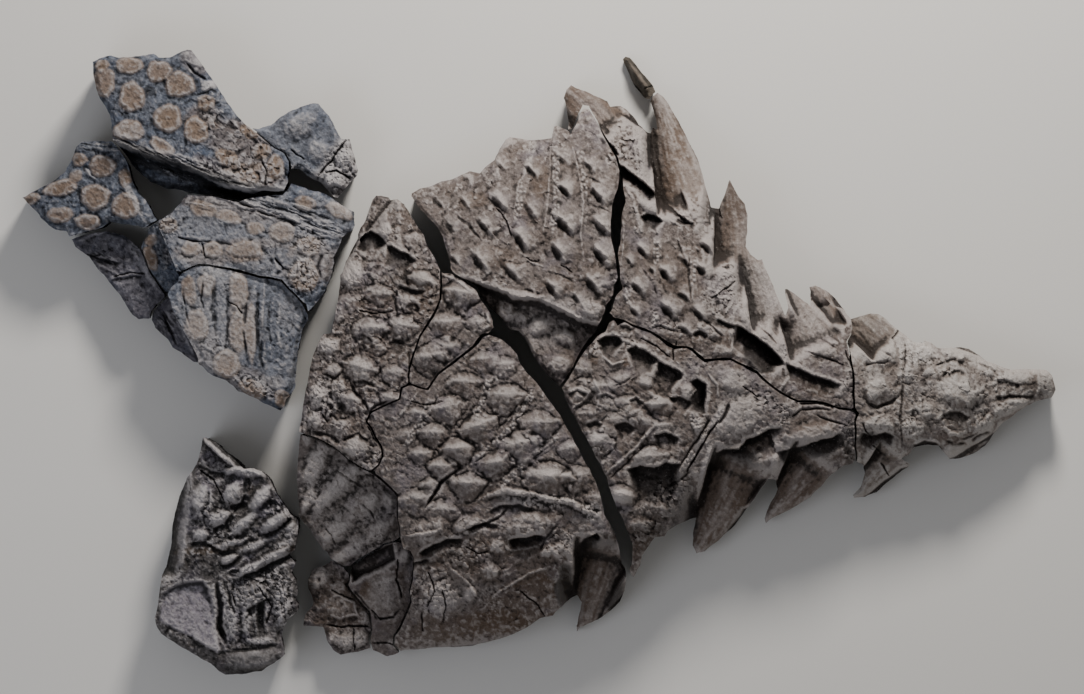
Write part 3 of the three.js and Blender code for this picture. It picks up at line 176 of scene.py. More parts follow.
class Sheet:
    """The top of one block as heights over a square net of points, with what colours it. A form's
    places, radii, widths and reaches are in the photograph's pixels, its turns in degrees, and
    its heights, depths, sizes and spacings in millimetres."""

    def __init__(self, ring, base, seed, keel, lozenges):
        margin = 12
        low, high = ring.min(0) - margin, ring.max(0) + margin
        self.xs, self.ys = np.arange(low[0], high[0], STEP), np.arange(low[1], high[1], STEP)
        self.x, self.y = np.meshgrid(self.xs, self.ys)
        self.u = self.x + WARP * rough(self.x, self.y, WARP_SIZE, seed, 3)
        self.v = self.y + WARP * rough(self.x, self.y, WARP_SIZE, seed + 40, 3)
        self.jag_u = self.u + JAG * rough(self.x, self.y, JAG_SIZE, seed + 80, 3, 0.65)
        self.jag_v = self.v + JAG * rough(self.x, self.y, JAG_SIZE, seed + 90, 3, 0.65)
        self.z = base(self.x, self.y)
        self.seed, self.keel, self.lozenges = seed, keel, lozenges
        self.under = np.zeros_like(self.z)
        self.smooth = np.zeros_like(self.z)  # 1 where no skin or grain is wanted
        # pale and dark hold painted highlight and painted shade as well as the stone's own pale and dark
        # colour.
        self.tint = {name: np.zeros_like(self.z) for name in ("pale", "brown", "horn", "disc", "dark")}

    def window(self, low, high):
        """The part of the net between two corners."""
        i = slice(*np.searchsorted(self.ys, (low[1], high[1])))
        j = slice(*np.searchsorted(self.xs, (low[0], high[0])))
        return i, j

    def line(self, points, reach, closed=False, by="warped"):
        """Distance from each point to a line, up to reach, how far along the line it is (0 to 1),
        and 1 on its left or -1 on its right."""
        nets = {
            "plain": (self.x, self.y), "warped": (self.u, self.v), "jagged": (self.jag_u, self.jag_v),
        }
        u, v = nets[by]
        far = np.full(self.z.shape, float(reach))
        along, side = np.zeros(self.z.shape), np.ones(self.z.shape)
        ends = np.vstack([points, points[:1]]) if closed else points
        start = 0.0
        margin = reach + WARP + JAG
        for a, b in zip(ends[:-1], ends[1:]):
            at = self.window(np.minimum(a, b) - margin, np.maximum(a, b) + margin)
            x, y = u[at], v[at]
            way = b - a
            length = max(np.hypot(*way), 1e-9)
            t = np.clip(((x - a[0]) * way[0] + (y - a[1]) * way[1]) / length**2, 0, 1)
            d = np.hypot(x - a[0] - t * way[0], y - a[1] - t * way[1])
            nearer = d < far[at]
            far[at] = np.where(nearer, d, far[at])
            along[at] = np.where(nearer, start + t * length, along[at])
            side[at] = np.where(nearer, np.sign(way[0] * (y - a[1]) - way[1] * (x - a[0])), side[at])
            start += length
        return far, along / start, side

    def inside(self, ring):
        """Which points of the net lie inside a ring."""
        mask = np.zeros(self.z.shape, bool)
        a, b = ring, np.roll(ring, -1, 0)
        for row, y in enumerate(self.ys):
            cut = (a[:, 1] > y) != (b[:, 1] > y)
            p, q = a[cut], b[cut]
            crossings = np.sort(p[:, 0] + (q[:, 0] - p[:, 0]) * (y - p[:, 1]) / (q[:, 1] - p[:, 1]))
            mask[row] = np.searchsorted(crossings, self.xs) % 2 == 1
        return mask

    def at(self, grid, points):
        """Values of a grid at loose points."""
        u = np.clip((points[:, 0] - self.xs[0]) / STEP, 0, len(self.xs) - 1.001)
        v = np.clip((points[:, 1] - self.ys[0]) / STEP, 0, len(self.ys) - 1.001)
        i, j = v.astype(int), u.astype(int)
        fv, fu = v - i, u - j
        low = grid[i, j] * (1 - fu) + grid[i, j + 1] * fu
        return low * (1 - fv) + (grid[i + 1, j] * (1 - fu) + grid[i + 1, j + 1] * fu) * fv

    def around(self, x, y, radius_x, radius_y, turn, reach=1.6, jagged=True):
        """The net near a turned oval, and each point's place in it, 1 on its edge."""
        centre = plan((x, y))
        rx, ry = radius_x * MM_PER_PX, radius_y * MM_PER_PX
        span = reach * max(rx, ry) + WARP + JAG
        at = self.window(centre - span, centre + span)
        u, v = (self.jag_u, self.jag_v) if jagged else (self.u, self.v)
        a = math.radians(turn)
        dx, dy = u[at] - centre[0], v[at] - centre[1]
        along = (dx * math.cos(a) + dy * math.sin(a)) / rx
        return at, along, (dy * math.cos(a) - dx * math.sin(a)) / ry

    def plate(self, x, y, radius, height):
        """Keeled plate. A lozenge has a short lit face above its crest, a long one below and a thin
        groove round it; any other has one long gentle face that ends at a small hollow. The face
        towards the light is painted paler as highlight, and the groove and the hollow painted dark as
        shade."""
        wobble = np.random.default_rng(int(x * 1000 + y)).uniform(-1, 1, 4)
        r = radius * (1 + 0.08 * wobble[0])
        at, along, across = self.around(x, y, r, r, self.keel + 9 * wobble[1], 2.2, False)
        uneven = rough(self.jag_u[at], self.jag_v[at], 16, self.seed + 7, 2)
        if self.lozenges:
            across = (across + 0.1 * along * wobble[2]) / 1.3
            along = np.sqrt((along / 1.3) ** 2 + 0.03) - 0.17
            face = np.where(across > 0, across / 0.6, -across / 1.15)
            way = (along**1.3 + face**1.3) ** (1 / 1.3) + 0.2 * uneven
            shape = np.clip(1 - way, 0, 1)
            hollow = 0.65 * np.exp(-(((way - 1.06) / 0.09) ** 2)) * ease(0.7 + uneven)
            sunny = ease(shape * 2) * (0.6 + 0.4 * uneven + 0.3 * wobble[3])
            lit = np.where(across > 0, sunny, 0.1 * shape)
            lit += 0.6 * np.exp(-(((across - 0.05) / 0.09) ** 2)) * ease(shape * 2.5) * ease(0.8 + uneven)
            height = height * 1.2
            depth = 0.24
        else:
            up = across - 0.17
            way = np.where(up > 0, up / 1.2, -up / 0.3)
            shape = np.clip(1 - way, 0, 1) * np.clip(1 - np.abs(along / 0.9) ** 1.8, 0, 1)
            oval = np.hypot(along / 0.38, across / 0.2) * (1 + 0.35 * uneven)
            hollow = ease(1.5 - oval) * (0.8 + 0.3 * wobble[2])
            lit = np.where(up > -0.02, shape, 0) ** 1.5
            depth = 0.42
        self.z[at] += height * (shape * (1 + 0.22 * uneven) - depth * hollow)
        # Painted highlight on the face towards the light, painted shade in the groove and the hollow.
        self.tint["pale"][at] += 0.5 * lit
        self.tint["dark"][at] += 0.75 * hollow
        self.smooth[at] = np.maximum(self.smooth[at], 0.45 * ease(shape * 2))

    def lump(self, x, y, radius_x, radius_y, turn, height):
        """A rounded knob, with a painted highlight on its crown."""
        at, along, across = self.around(x, y, radius_x, radius_y, turn)
        shape = ease(1.35 - np.hypot(along, across))
        self.z[at] += height * shape
        self.tint["pale"][at] += 0.3 * shape**2

    def pit(self, x, y, radius_x, radius_y, turn, depth):
        """A hollow with a sharp upper edge that shallows downwards in the picture, painted dark inside as
        shade.
        """
        at, along, across = self.around(x, y, radius_x, radius_y, turn)
        oval = np.hypot(along, across)
        shape = ease((1.15 - oval) * 2.6) * (0.75 + 0.35 * np.clip(across, -1, 1))
        self.z[at] -= depth * shape
        self.tint["dark"][at] += 0.85 * shape * min(1, depth / 30)

    def disc(self, x, y, radius_x, radius_y, turn, height):
        """A low armour disc with a bumpy top, a paler rim and a thin dark ring round it, painted as the
        shade of a groove.
        """
        at, along, across = self.around(x, y, radius_x, radius_y, turn)
        angle = np.arctan2(across, along)
        d = np.hypot(along, across) * (1 + 0.03 * np.cos(angle * 6 + x) + 0.05 * np.cos(angle * 3 + y))
        shape = ease((1.12 - d) * 3)
        bumpy = rough(self.jag_u[at], self.jag_v[at], 8, self.seed + 8, 3, 0.7)
        self.z[at] += 0.75 * height * shape * (0.85 + 0.15 * ease(d * 1.3)) + 0.16 * height * bumpy * shape
        self.smooth[at] = np.maximum(self.smooth[at], 0.7 * shape)
        rim = np.exp(-(((d - 0.88) / 0.17) ** 2))
        browned = 0.5 + 0.45 * math.sin(x * 1.7 + y * 2.3)  # some discs are stained, some pinkish
        tan = ease((1.1 - d) * 5) * (0.85 + 0.15 * bumpy)
        self.tint["disc"][at] = np.maximum(self.tint["disc"][at], tan)
        self.tint["pale"][at] = self.tint["pale"][at] * (1 - 0.7 * shape) + 0.12 * rim * (1 - 0.5 * browned)
        self.tint["brown"][at] += 1.1 * browned * shape * ease(1.1 - d * 1.1) * ease(0.8 + 0.7 * bumpy)
        # Painted shade of a groove just outside the disc.
        self.tint["dark"][at] += 0.2 * np.exp(-(((d - 1.16) / 0.09) ** 2))

    def ridge(self, points, half_width, height):
        """A broken raised line, or a groove where height is below nought, thinning to its ends."""
        half = half_width * MM_PER_PX
        d, along, _ = self.line(plan(points), half * 1.7, by="jagged")
        taper = fading(along, 3.5, 0.2)
        uneven = 0.8 + 0.6 * rough(self.x, self.y, 30, self.seed + 6, 3)
        shape = ease(1.25 - d / (half * (0.5 + 0.5 * taper))) * taper * np.clip(uneven, 0.15, 1.4)
        self.z += height * shape
        # Painted highlight along a raised line, painted shade along a groove.
        self.tint["pale" if height > 0 else "dark"] += min(0.6, 0.15 + abs(height) / 40) * shape**2

    def step(self, points, depth, reach, dark=0.7):
        """A break in the surface: sharp edge along the line, deepest under it on the line's right,
        rising back to the surface over reach. The fall under the edge is painted dark as its shadow,
        how dark given by dark, and the lip above it gets a painted highlight."""
        d, along, side = self.line(plan(points), reach * MM_PER_PX, by="jagged")
        ends = fading(along, 6)
        fall = np.clip(1 - d / (reach * MM_PER_PX), 0, 1)
        down = np.where(side < 0, fall * ease(d / 6), 0) * ends
        self.z -= depth * down
        lip = np.where(side < 0, 0, np.clip(1 - d / 10, 0, 1)) * ends * np.minimum(1, fall * 3)
        self.z += 1.5 * lip
        # Painted highlight on the lip and painted shadow in the fall below it.
        self.tint["pale"] += 0.28 * lip
        self.tint["dark"] += dark * down**0.8

    def crack(self, *points):
        """A narrow crack, painted dark inside as shade, that runs out at its ends."""
        d, along, _ = self.line(plan(points), CRACK_REACH_MM, by="jagged")
        width = CRACK_MM * (1 + 0.5 * rough(self.x, self.y, 16, self.seed + 5, 2))
        width = width * fading(along, 8, 0.35)
        shape = np.clip(1.35 - d / np.maximum(width, 0.5), 0, 1)
        self.z -= CRACK_DEPTH_MM * shape
        self.tint["dark"] += 0.85 * shape

    def beads(self, *points):
        """A raised strip of small white scutes between two thin lines."""
        half = BEAD_STRIP_PX / 2 * MM_PER_PX
        d, along, _ = self.line(plan(points), half * 2)
        strip = ease((1.25 - d / half) * 2) * fading(along, 8, 0.3)
        *_, middle = chips(self.u, self.v, BEAD_MM, self.seed + 21)
        kept = ease(rough(self.x, self.y, 40, self.seed + 22, 2) * 1.6 + 0.85)
        bead = np.clip(1.15 - middle * 2.2, 0, 1) * kept
        line = np.exp(-(((d - half * 1.15) / 2.2) ** 2))
        self.z += strip * (1.5 + 5.5 * bead) + 1.8 * line * strip
        self.tint["pale"] += strip * (0.12 + 0.95 * bead)

    def rubble(self, x, y, radius_x, radius_y, turn, size, height, white=0.35):
        """Jumbled angular fragments, some of them white, with painted shade in the open gaps between them.
        """
        at, along, across = self.around(x, y, radius_x, radius_y, turn)
        mask = ease((1.25 - np.hypot(along, across)) * 1.8)
        u, v = self.jag_u[at], self.jag_v[at]
        large, gap, _ = chips(u, v, size, self.seed + 25)
        small, crumb_gap, _ = chips(u, v, size * 0.5, self.seed + 28)
        crumbled = ease(rough(u, v, size * 3, self.seed + 29, 2) * 3 + 0.5)
        open_gap = ease(rough(u, v, size * 2, self.seed + 31, 2) * 3 + 0.3)
        face = large * (1 - 0.6 * crumbled) + 0.5 * small * (0.3 + 0.7 * crumbled)
        between = np.clip(0.2 - gap, 0, 1) * (0.6 + 1.4 * open_gap)
        self.z[at] += mask * height * (face - between - 0.6 * np.clip(0.2 - crumb_gap, 0, 1))
        self.tint["pale"][at] += mask * white * ease(0.5 + face)
        # Painted shade in the open gaps between fragments.
        self.tint["dark"][at] += mask * 0.3 * open_gap * ease((0.12 - gap) * 9)
        self.smooth[at] = np.maximum(self.smooth[at], 0.35 * mask)

    def laminae(self, x, y, radius_x, radius_y, turn, height, spacing):
        """Thin layers broken across, running along the oval."""
        at, along, across = self.around(x, y, radius_x, radius_y, turn)
        mask = ease((1.2 - np.hypot(along, across)) * 1.8)
        across = across * radius_y * MM_PER_PX
        layer = rough(along * radius_x * MM_PER_PX * 0.12, across, spacing, self.seed + 27, 3, 0.7)
        self.z[at] += mask * height * layer
        self.tint["dark"][at] += mask * 0.7 * np.clip(-layer * 2 - 0.1, 0, 1)
        self.tint["pale"][at] += mask * 0.35 * np.clip(layer * 2, 0, 1)
        self.tint["disc"][at] *= 1 - 0.7 * mask

    def patch(self, x, y, radius_x, radius_y, turn, tint, strength):
        """A patch of tint with a ragged edge; a strength below nought takes colour away. Brown and disc
        patches are stains; dark patches are mostly painted shade in hollows and under edges, and pale
        ones partly painted highlight.
        """
        at, along, across = self.around(x, y, radius_x, radius_y, turn)
        ragged = 0.3 * rough(self.jag_u[at], self.jag_v[at], 28, self.seed + 26, 3, 0.65)
        self.tint[tint][at] += strength * ease((1.15 - np.hypot(along, across) + ragged) * 2.2)

    def shelf(self, points, depth, slope):
        """A part of the block broken away to a lower level, with a painted highlight along the lip and
        painted shade on the low part near its edge.
        """
        edge = plan(points)
        d, *_ = self.line(edge, slope * MM_PER_PX * 1.5 + 20, closed=True, by="jagged")
        held = within(np.stack([self.jag_u.ravel(), self.jag_v.ravel()], 1), edge).reshape(self.z.shape)
        down = ease(np.where(held, d, 0) / (slope * MM_PER_PX))
        self.z -= depth * down
        lip = np.where(held, 0, np.clip(1 - d / 12, 0, 1))
        self.z += 2.5 * lip
        # Painted highlight on the lip and painted shade on the low part near the edge.
        self.tint["pale"] += 0.22 * lip
        self.tint["dark"] += 0.5 * down * (1 - ease(d / (slope * MM_PER_PX * 1.3)))

    def spine(self, root, tip, width, top, thick, horn=0.9, shade=0.0):
        """A spine of horn turned to stone: round above, fibrous along its length, free below.
        Width holds its half widths and top its heights, both at root and tip, and thick is how
        far it reaches down. Shade is painted shade laid on it, and below nought a painted highlight."""
        a, b = plan(root), plan(tip)
        reach = np.hypot(*(b - a))
        way = (b - a) / reach
        dx, dy = self.u - a[0], self.v - a[1]
        s = (dx * way[0] + dy * way[1]) / reach
        half = np.interp(s, (0, 1), width) * MM_PER_PX
        off = (dy * way[0] - dx * way[1]) / half
        side = np.abs(off)
        near = (s > -0.2) & (side < 2.2) & (s < 1.12)
        out = ease(s * 2.5 - 0.7)  # how far a place is along the free part
        axis = top[0] + (top[1] - top[0]) * np.clip(s, -0.2, 1.1)
        fibres = 1.3 * value_noise(off * 60, s * reach / 4, 6, self.seed + 9)
        fibres += 2.2 * value_noise(off * 50, s * reach / 3, 22, self.seed + 10)
        fibres += 2.2 * rough(self.x, self.y, 24, self.seed + 18, 3, 0.65)
        streaks = value_noise(off * 45, s * reach / 7, 14, self.seed + 33)
        streaks += 0.6 * value_noise(off * 60, s * reach / 9, 7, self.seed + 34)
        crown = axis - thick * 0.3 * np.minimum(np.abs(off + 0.15), 1.5) ** 1.8 + fibres
        # Where only the spine shows, and nothing of the block's own top.
        own = near * ease((1.3 - side) * 5) * ease(s * 4 + 0.3) * ease((1.1 - s) * 12)
        cap = axis - 0.5 * thick + np.maximum(0, side - 1) * half * 1.1
        ground = self.z + (np.minimum(self.z, cap) - self.z) * near * out * ease(2.2 - side)
        self.z = ground + (crown - ground) * own
        self.tint["horn"] = np.maximum(self.tint["horn"], horn * own)
        # Pale streaks follow the fibres; dark is painted shade, as much as shade gives and more towards the
        # free part's sides, and a shade below nought adds a painted highlight.
        painted = {
            "pale": 0.3 * ease(0.2 + streaks) + max(0, -shade),
            "brown": 0.55 * ease(0.3 - streaks) * min(1, 0.2 + horn),
            "dark": shade + 0.2 * out * ease((side - 0.9) * 4),
        }
        for name, amount in painted.items():
            self.tint[name] = self.tint[name] * (1 - own) + own * amount
        self.smooth = np.maximum(self.smooth, 0.8 * own)
        free = np.maximum(0, axis - thick) * ease(s * 1.6 - 0.1)
        self.under = np.maximum(self.under, np.where((s > 0) & (side < 1.9), free, 0))

    def skin(self, chip, chip_height, grain, wrinkle, boulder):
        """Small broken facets, wrinkles, creases and grain, less where the sheet is smooth."""
        kept_mm, boulder_mm, wrinkle_mm, fold_mm, crinkle_mm, grain_mm = 100, 120, 34, 52, 21, 9
        rest = 1 - self.smooth
        if chip_height:
            face, gap, _ = chips(self.jag_u, self.jag_v, chip, self.seed + 11)
            small, *_ = chips(self.jag_u, self.jag_v, chip * 0.45, self.seed + 16)
            kept = ease(rough(self.x, self.y, kept_mm, self.seed + 14, 2) * 2.2 + 0.5)
            self.z += chip_height * (face * (0.5 + 0.5 * kept) + 0.4 * small) * rest
            self.z -= 0.45 * chip_height * kept * np.clip(1 - gap * 5, 0, 1) * rest
            self.tint["pale"] += 0.14 * face * rest
        self.z += boulder * rough(self.x, self.y, boulder_mm, self.seed + 12, 2)
        wrinkles = rough(self.u, self.v, wrinkle_mm, self.seed + 13, 4, 0.6)
        self.z += wrinkle * wrinkles * (0.35 + 0.65 * rest)
        folds = creases(self.jag_u, self.jag_v, fold_mm, self.seed + 15)
        self.z += 2.2 * wrinkle * np.minimum(folds + 0.62, 0) * (0.3 + 0.7 * rest)
        self.z += 1.5 * grain * rough(self.x, self.y, grain_mm, self.seed + 17, 2, 0.8)
        crinkles = creases(self.jag_u, self.jag_v, crinkle_mm, self.seed + 19, 2)
        self.z += 1.1 * grain * crinkles * (0.4 + 0.6 * rest)

    def blur(self, grid, reach):
        """A grid averaged over about reach millimetres each way."""
        n = max(1, round(reach / STEP))
        for _ in range(2):
            for axis in (0, 1):
                first, last = np.take(grid, [0] * (n + 1), axis), np.take(grid, [-1] * n, axis)
                padded = np.concatenate([first, grid, last], axis)
                summed = np.cumsum(padded, axis)
                count = grid.shape[axis]
                ahead = np.take(summed, range(2 * n + 1, 2 * n + 1 + count), axis)
                grid = (ahead - np.take(summed, range(count), axis)) / (2 * n + 1)
        return grid


def outline(node):
    """The rim of a CAD block's top as one closed ring in millimetres, running anticlockwise."""
    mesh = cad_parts[node].data
    keys = {}

    def index(v):
        """The number of a corner's place; corners at one place share it."""
        p = mesh.vertices[v].co * 1000
        return keys.setdefault(tuple(round(c, 2) for c in p), len(keys))

    edges = set()
    for face in mesh.polygons:
        corners = [index(v) for v in face.vertices]
        if face.normal.z > 1e-4:
            edges.update(zip(corners, corners[1:] + corners[:1]))
    places = list(keys)
    follow = {a: b for a, b in edges if (b, a) not in edges}
    start = at = next(iter(follow))
    ring = []
    while True:
        ring.append(places[at][:2])
        at = follow[at]
        if at == start:
            break
    if len(ring) != len(follow):
        raise ValueError(f"{node}: {len(follow)} rim edges but a ring of {len(ring)}")
    return np.array(ring)


def inward(ring):
    """Unit directions to the left of a ring, evened out along it."""
    way = np.roll(ring, -2, 0) - np.roll(ring, 2, 0)
    left = np.stack([-way[:, 1], way[:, 0]], 1)
    return left / np.maximum(np.hypot(left[:, 0], left[:, 1]), 1e-9)[:, None]


def way_to(points, rings):
    """From each loose point, the way to the nearest place on any of some rings."""
    way = np.full(points.shape, 1e4)
    for ring in rings:
        for a, b in zip(ring, np.roll(ring, -1, 0)):
            t = np.clip((points - a) @ (b - a) / max(((b - a) ** 2).sum(), 1e-9), 0, 1)
            to = a + t[:, None] * (b - a) - points
            closer = (to**2).sum(1) < (way**2).sum(1)
            way[closer] = to[closer]
    return way


def broken_rim(coarse, seed, wear, sheet, free, others):
    """The ring in short steps, worn back unevenly from its drawn line where it is free, and
    moved out to nearly meet the next block along an old break."""
    fine = []
    for a, b in zip(coarse, np.roll(coarse, -1, 0)):
        count = max(1, round(np.hypot(*(b - a)) / STEP))
        fine.extend(a + (b - a) * k / count for k in range(count))
    fine = np.array(fine)
    back = np.clip(0.45 + 0.55 * rough(fine[:, 0], fine[:, 1], 24, seed, 4, 0.65), 0, 1) * wear
    back *= 0.12 + 0.88 * sheet.at(free, fine)
    way = way_to(fine, others)
    gap = np.hypot(way[:, 0], way[:, 1])
    close = np.clip((gap - HAIRLINE_MM) / 2, 0, 5) * ease((CLOSING_MM - gap) / CLOSING_FADE_MM)
    worn = fine + inward(fine) * (back * roominess(fine, coarse))[:, None]
    return worn + way * (close / gap)[:, None]


def roominess(points, coarse):
    """1 where a ring's block is wide, less where it is a narrow tip."""
    wide = 32
    ends = np.roll(coarse, -1, 0)
    room = np.full(len(points), 60.0)
    left = inward(points)
    for reach in (6, 12, 20, wide):
        p = points + left * reach
        crossings = np.zeros(len(p), int)
        for a, b in zip(coarse, ends):
            cut = (a[1] > p[:, 1]) != (b[1] > p[:, 1])
            span = b[1] - a[1] if b[1] != a[1] else 1e-9
            crossings += cut & (p[:, 0] < a[0] + (b[0] - a[0]) * (p[:, 1] - a[1]) / span)
        room = np.where(crossings % 2 == 0, np.minimum(room, reach), room)
    return np.clip(room / wide, 0.12, 1)


def within(points, ring):
    """Which loose points lie inside a ring."""
    odd = np.zeros(len(points), bool)
    for a, b in zip(ring, np.roll(ring, -1, 0)):
        if a[1] != b[1]:
            cut = (a[1] > points[:, 1]) != (b[1] > points[:, 1])
            crossing = a[0] + (b[0] - a[0]) * (points[:, 1] - a[1]) / (b[1] - a[1])
            odd ^= cut & (points[:, 0] < crossing)
    return odd


def fill(ring, inner):
    """Triangles inside a ring through some inner points. Gives the points, the ring's first, and
    the faces."""
    count = len(ring)
    points = [Vector(p) for p in np.vstack([ring, inner]).tolist()]
    spots, _, faces, *_ = delaunay_2d_cdt(points, [], [list(range(count))], 1, 1e-5, False)
    spots, faces = np.array([tuple(p) for p in spots]), np.array([tuple(f) for f in faces])
    on_ring = (faces < count).all(1)
    good = ~on_ring
    good[on_ring] = within(spots[faces[on_ring]].mean(1), ring)
    return spots, faces[good].tolist()


PRESSED_MM = 15  # crests that come near the solids' full height are pressed into this much
CEILING = cad_box[1][2] * 1000 - PRESSED_MM - 1
THIN_MM = 14  # least thickness of a spine or an overhanging edge
SHORT_WALL_MM = 8  # least height of a block's side
SHARP_RIM = (4, 2)  # width and drop of a rim where the next block fitted on
FOOT_NET_MM, FOOT_MARGIN_MM = 60, 24  # the foot is flat, so its net is wide and stays off the rim
SHARP_DEGREES = 62
FORMS = (
    "shelf", "plate", "lump", "ridge", "step", "pit", "beads", "rubble", "laminae", "disc", "patch",
    "spine",
)
RIMS = {node: outline(node) for node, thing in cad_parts.items() if thing.type == "MESH"}


def work_top(node, sheet, forms, more, skin, cracks):
    """Puts a block's forms on its sheet, in the order of FORMS, then its skin and its cracks."""
    for name in FORMS:
        for one in forms.pop(name, ()):
            getattr(sheet, name)(*one)
    if forms:
        raise ValueError(f"{node}: no form called {list(forms)}")
    if more:
        more(sheet)
    sheet.skin(*skin)
    for one in cracks:
        sheet.crack(*one)


def wear_rim(node, sheet, seed, wear, rounding):
    """The block's broken rim and each point's distance from it. The top is worn round along the
    rim where it is free, and stays sharp where the next block fitted on."""
    coarse = RIMS[node]
    low, high = coarse.min(0) - JOINT_MM, coarse.max(0) + JOINT_MM
    others = [
        ring for name, ring in RIMS.items()
        if name != node and (ring.max(0) > low).all() and (ring.min(0) < high).all()
    ]
    to_next = np.full(sheet.z.shape, JOINT_MM)
    for ring in others:
        to_next = np.minimum(to_next, sheet.line(ring, JOINT_MM, closed=True, by="plain")[0])
    free = ease(to_next / JOINT_MM * 1.3 - 0.3)
    rim = broken_rim(coarse, seed, wear, sheet, free, others)
    width, drop = (sharp + (worn - sharp) * free for sharp, worn in zip(SHARP_RIM, rounding))
    to_rim, *_ = sheet.line(rim[::4], rounding[0] * 2.2, closed=True, by="plain")
    width = width * (1 + 0.7 * rough(sheet.x, sheet.y, 40, seed + 30, 3))
    sheet.z -= drop * (1 - ease(to_rim / width)) ** 1.5
    return rim, to_rim


def broken_side(rim, top_z, foot_z, room, seed, strata):
    """The levels of a block's broken side from the rim down, each a ring set back a little
    further, with flat facets and layers in it."""
    at_rim, more_at_foot, least, most = 3, 5, 0.3, 14  # how far the side is set back
    facet_mm, lean_mm, swell_mm, layer_mm = 34, 50, 60, 17
    left = inward(rim)
    around = np.arange(len(rim)) * STEP
    levels = []
    for level in range(1, WALL_LEVELS + 1):
        t = (level / WALL_LEVELS) ** 1.3
        z = top_z + (foot_z - top_z) * t
        leaning = z + 20 * rough(around, z, lean_mm, seed + 36, 2)
        facet, *_ = chips(around, leaning, facet_mm, seed + 35)
        back = at_rim + more_at_foot * t + 3 * rough(around, z, swell_mm, seed + 20, 3)
        back += 3.5 * facet * ease(t * 3) + strata * rough(around / 9, z, layer_mm, seed + 24, 2)
        set_back = rim + left * (np.clip(back, least, most) * room)[:, None]
        levels.append(np.column_stack([set_back, z]))
    return levels


def paint(mesh, name, column):
    """Stores a value from 0 to 1 at each corner, for the material to read."""
    layer = mesh.attributes.new(name, "FLOAT", "POINT")
    layer.data.foreach_set("value", np.clip(column, 0, 1).astype(np.float32))


def block(node, slot, material, base, seed, keel=-50, lozenges=False, skin=(17, 3.0, 1.2, 5, 5),
          rounding=(13, 9), wear=3.5, strata=0.0, more=None, crack=(), **forms):
    """One block from its forms: a worked top, a broken wall below its rim, and a foot. Each form is
    a list of what the sheet's method of that name takes."""
    coarse = RIMS[node]
    sheet = Sheet(coarse, base, seed, keel, lozenges)
    work_top(node, sheet, forms, more, skin, crack)
    # How far each place stands out of what is round it, near by and farther off: 0 in hollows, 1 on
    # crests. The material paints shade into the hollows and highlights on the crests from it.
    near_by, far_off = sheet.z - sheet.blur(sheet.z, 8), sheet.z - sheet.blur(sheet.z, 34)
    cavity = 0.5 + near_by / 7.5 + far_off / 75
    rim, to_rim = wear_rim(node, sheet, seed, wear, rounding)
    sheet.z = np.maximum(sheet.z, sheet.under + THIN_MM)
    pressed = CEILING + PRESSED_MM * np.tanh((sheet.z - CEILING) / PRESSED_MM)
    sheet.z = np.where(sheet.z > CEILING, pressed, sheet.z)

    keep = sheet.inside(rim)
    near_rim, *_ = sheet.line(rim, STEP * 0.6, closed=True, by="plain")
    keep &= near_rim >= STEP * 0.55
    spots, faces = fill(rim, np.stack([sheet.x[keep], sheet.y[keep]], 1))
    count = len(rim)
    if len(spots) != count + keep.sum():
        raise ValueError(f"{node}: the rim crosses itself")
    on_top = total = len(spots)
    heights = sheet.at(sheet.z, spots)
    verts = [np.column_stack([spots, heights])]

    rim_z = heights[:count]
    foot_z = np.minimum(sheet.at(sheet.under, rim), rim_z - SHORT_WALL_MM)
    above = np.arange(count)
    following = np.roll(above, -1)
    for level in broken_side(rim, rim_z, foot_z, roominess(rim, coarse), seed, strata):
        below = total + np.arange(count)
        faces += [(above[i], below[i], below[j], above[j]) for i, j in enumerate(following)]
        verts.append(level)
        above = below
        total += count
    every = max(1, round(FOOT_NET_MM / STEP))
    wide = (slice(None, None, every),) * 2
    some = np.zeros_like(keep)
    some[wide] = keep[wide] & (to_rim[wide] > FOOT_MARGIN_MM)
    spots, foot = fill(verts[-1][:, :2], np.stack([sheet.x[some], sheet.y[some]], 1))
    under = sheet.at(sheet.under, spots)
    under[:count] = foot_z
    verts.append(np.column_stack([spots, under]))
    faces += [[total + i for i in reversed(face)] for face in foot]

    mesh = bpy.data.meshes.new(node + "_stone")
    verts = np.vstack(verts) * 0.001
    mesh.from_pydata(verts.tolist(), [], faces)
    mesh.polygons.foreach_set("use_smooth", [True] * len(mesh.polygons))
    mesh.set_sharp_from_angle(angle=math.radians(SHARP_DEGREES))
    for name, grid in dict(sheet.tint, cavity=cavity).items():
        column = np.full(len(verts), 0.5 if name == "cavity" else 0.0)
        column[:on_top] = sheet.at(grid, verts[:on_top, :2] * 1000)
        paint(mesh, name, column)
    paint(mesh, "wall", np.arange(len(verts)) >= on_top)
    mesh.materials.append(material)
    piece = bpy.data.objects.new(node + "_stone", mesh)
    bpy.context.scene.collection.objects.link(piece)
    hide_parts(node)
    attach(piece, "root")
    print(node, len(mesh.polygons), "faces")


def linear(hexes):
    """A colour as written for a screen, #rrggbb, to the renderer's linear values."""
    values = [int(hexes[k:k + 2], 16) / 255 for k in (1, 3, 5)]
    return tuple(v / 12.92 if v < 0.04045 else ((v + 0.055) / 1.055) ** 2.4 for v in values) + (1.0,)


def add(tree, kind, settings=None, **inputs):
    """A node with its settings and inputs. An input is given by its name, or by its number as in
    i6, and may be a value or another node's output."""
    node = tree.nodes.new(kind)
    for key, value in (settings or {}).items():
        setattr(node, key, value)
    for key, value in inputs.items():
        socket = node.inputs[int(key[1:]) if key[1:].isdigit() else key.replace("_", " ")]
        if isinstance(value, bpy.types.NodeSocket):
            tree.links.new(value, socket)
        else:
            socket.default_value = value
    return node


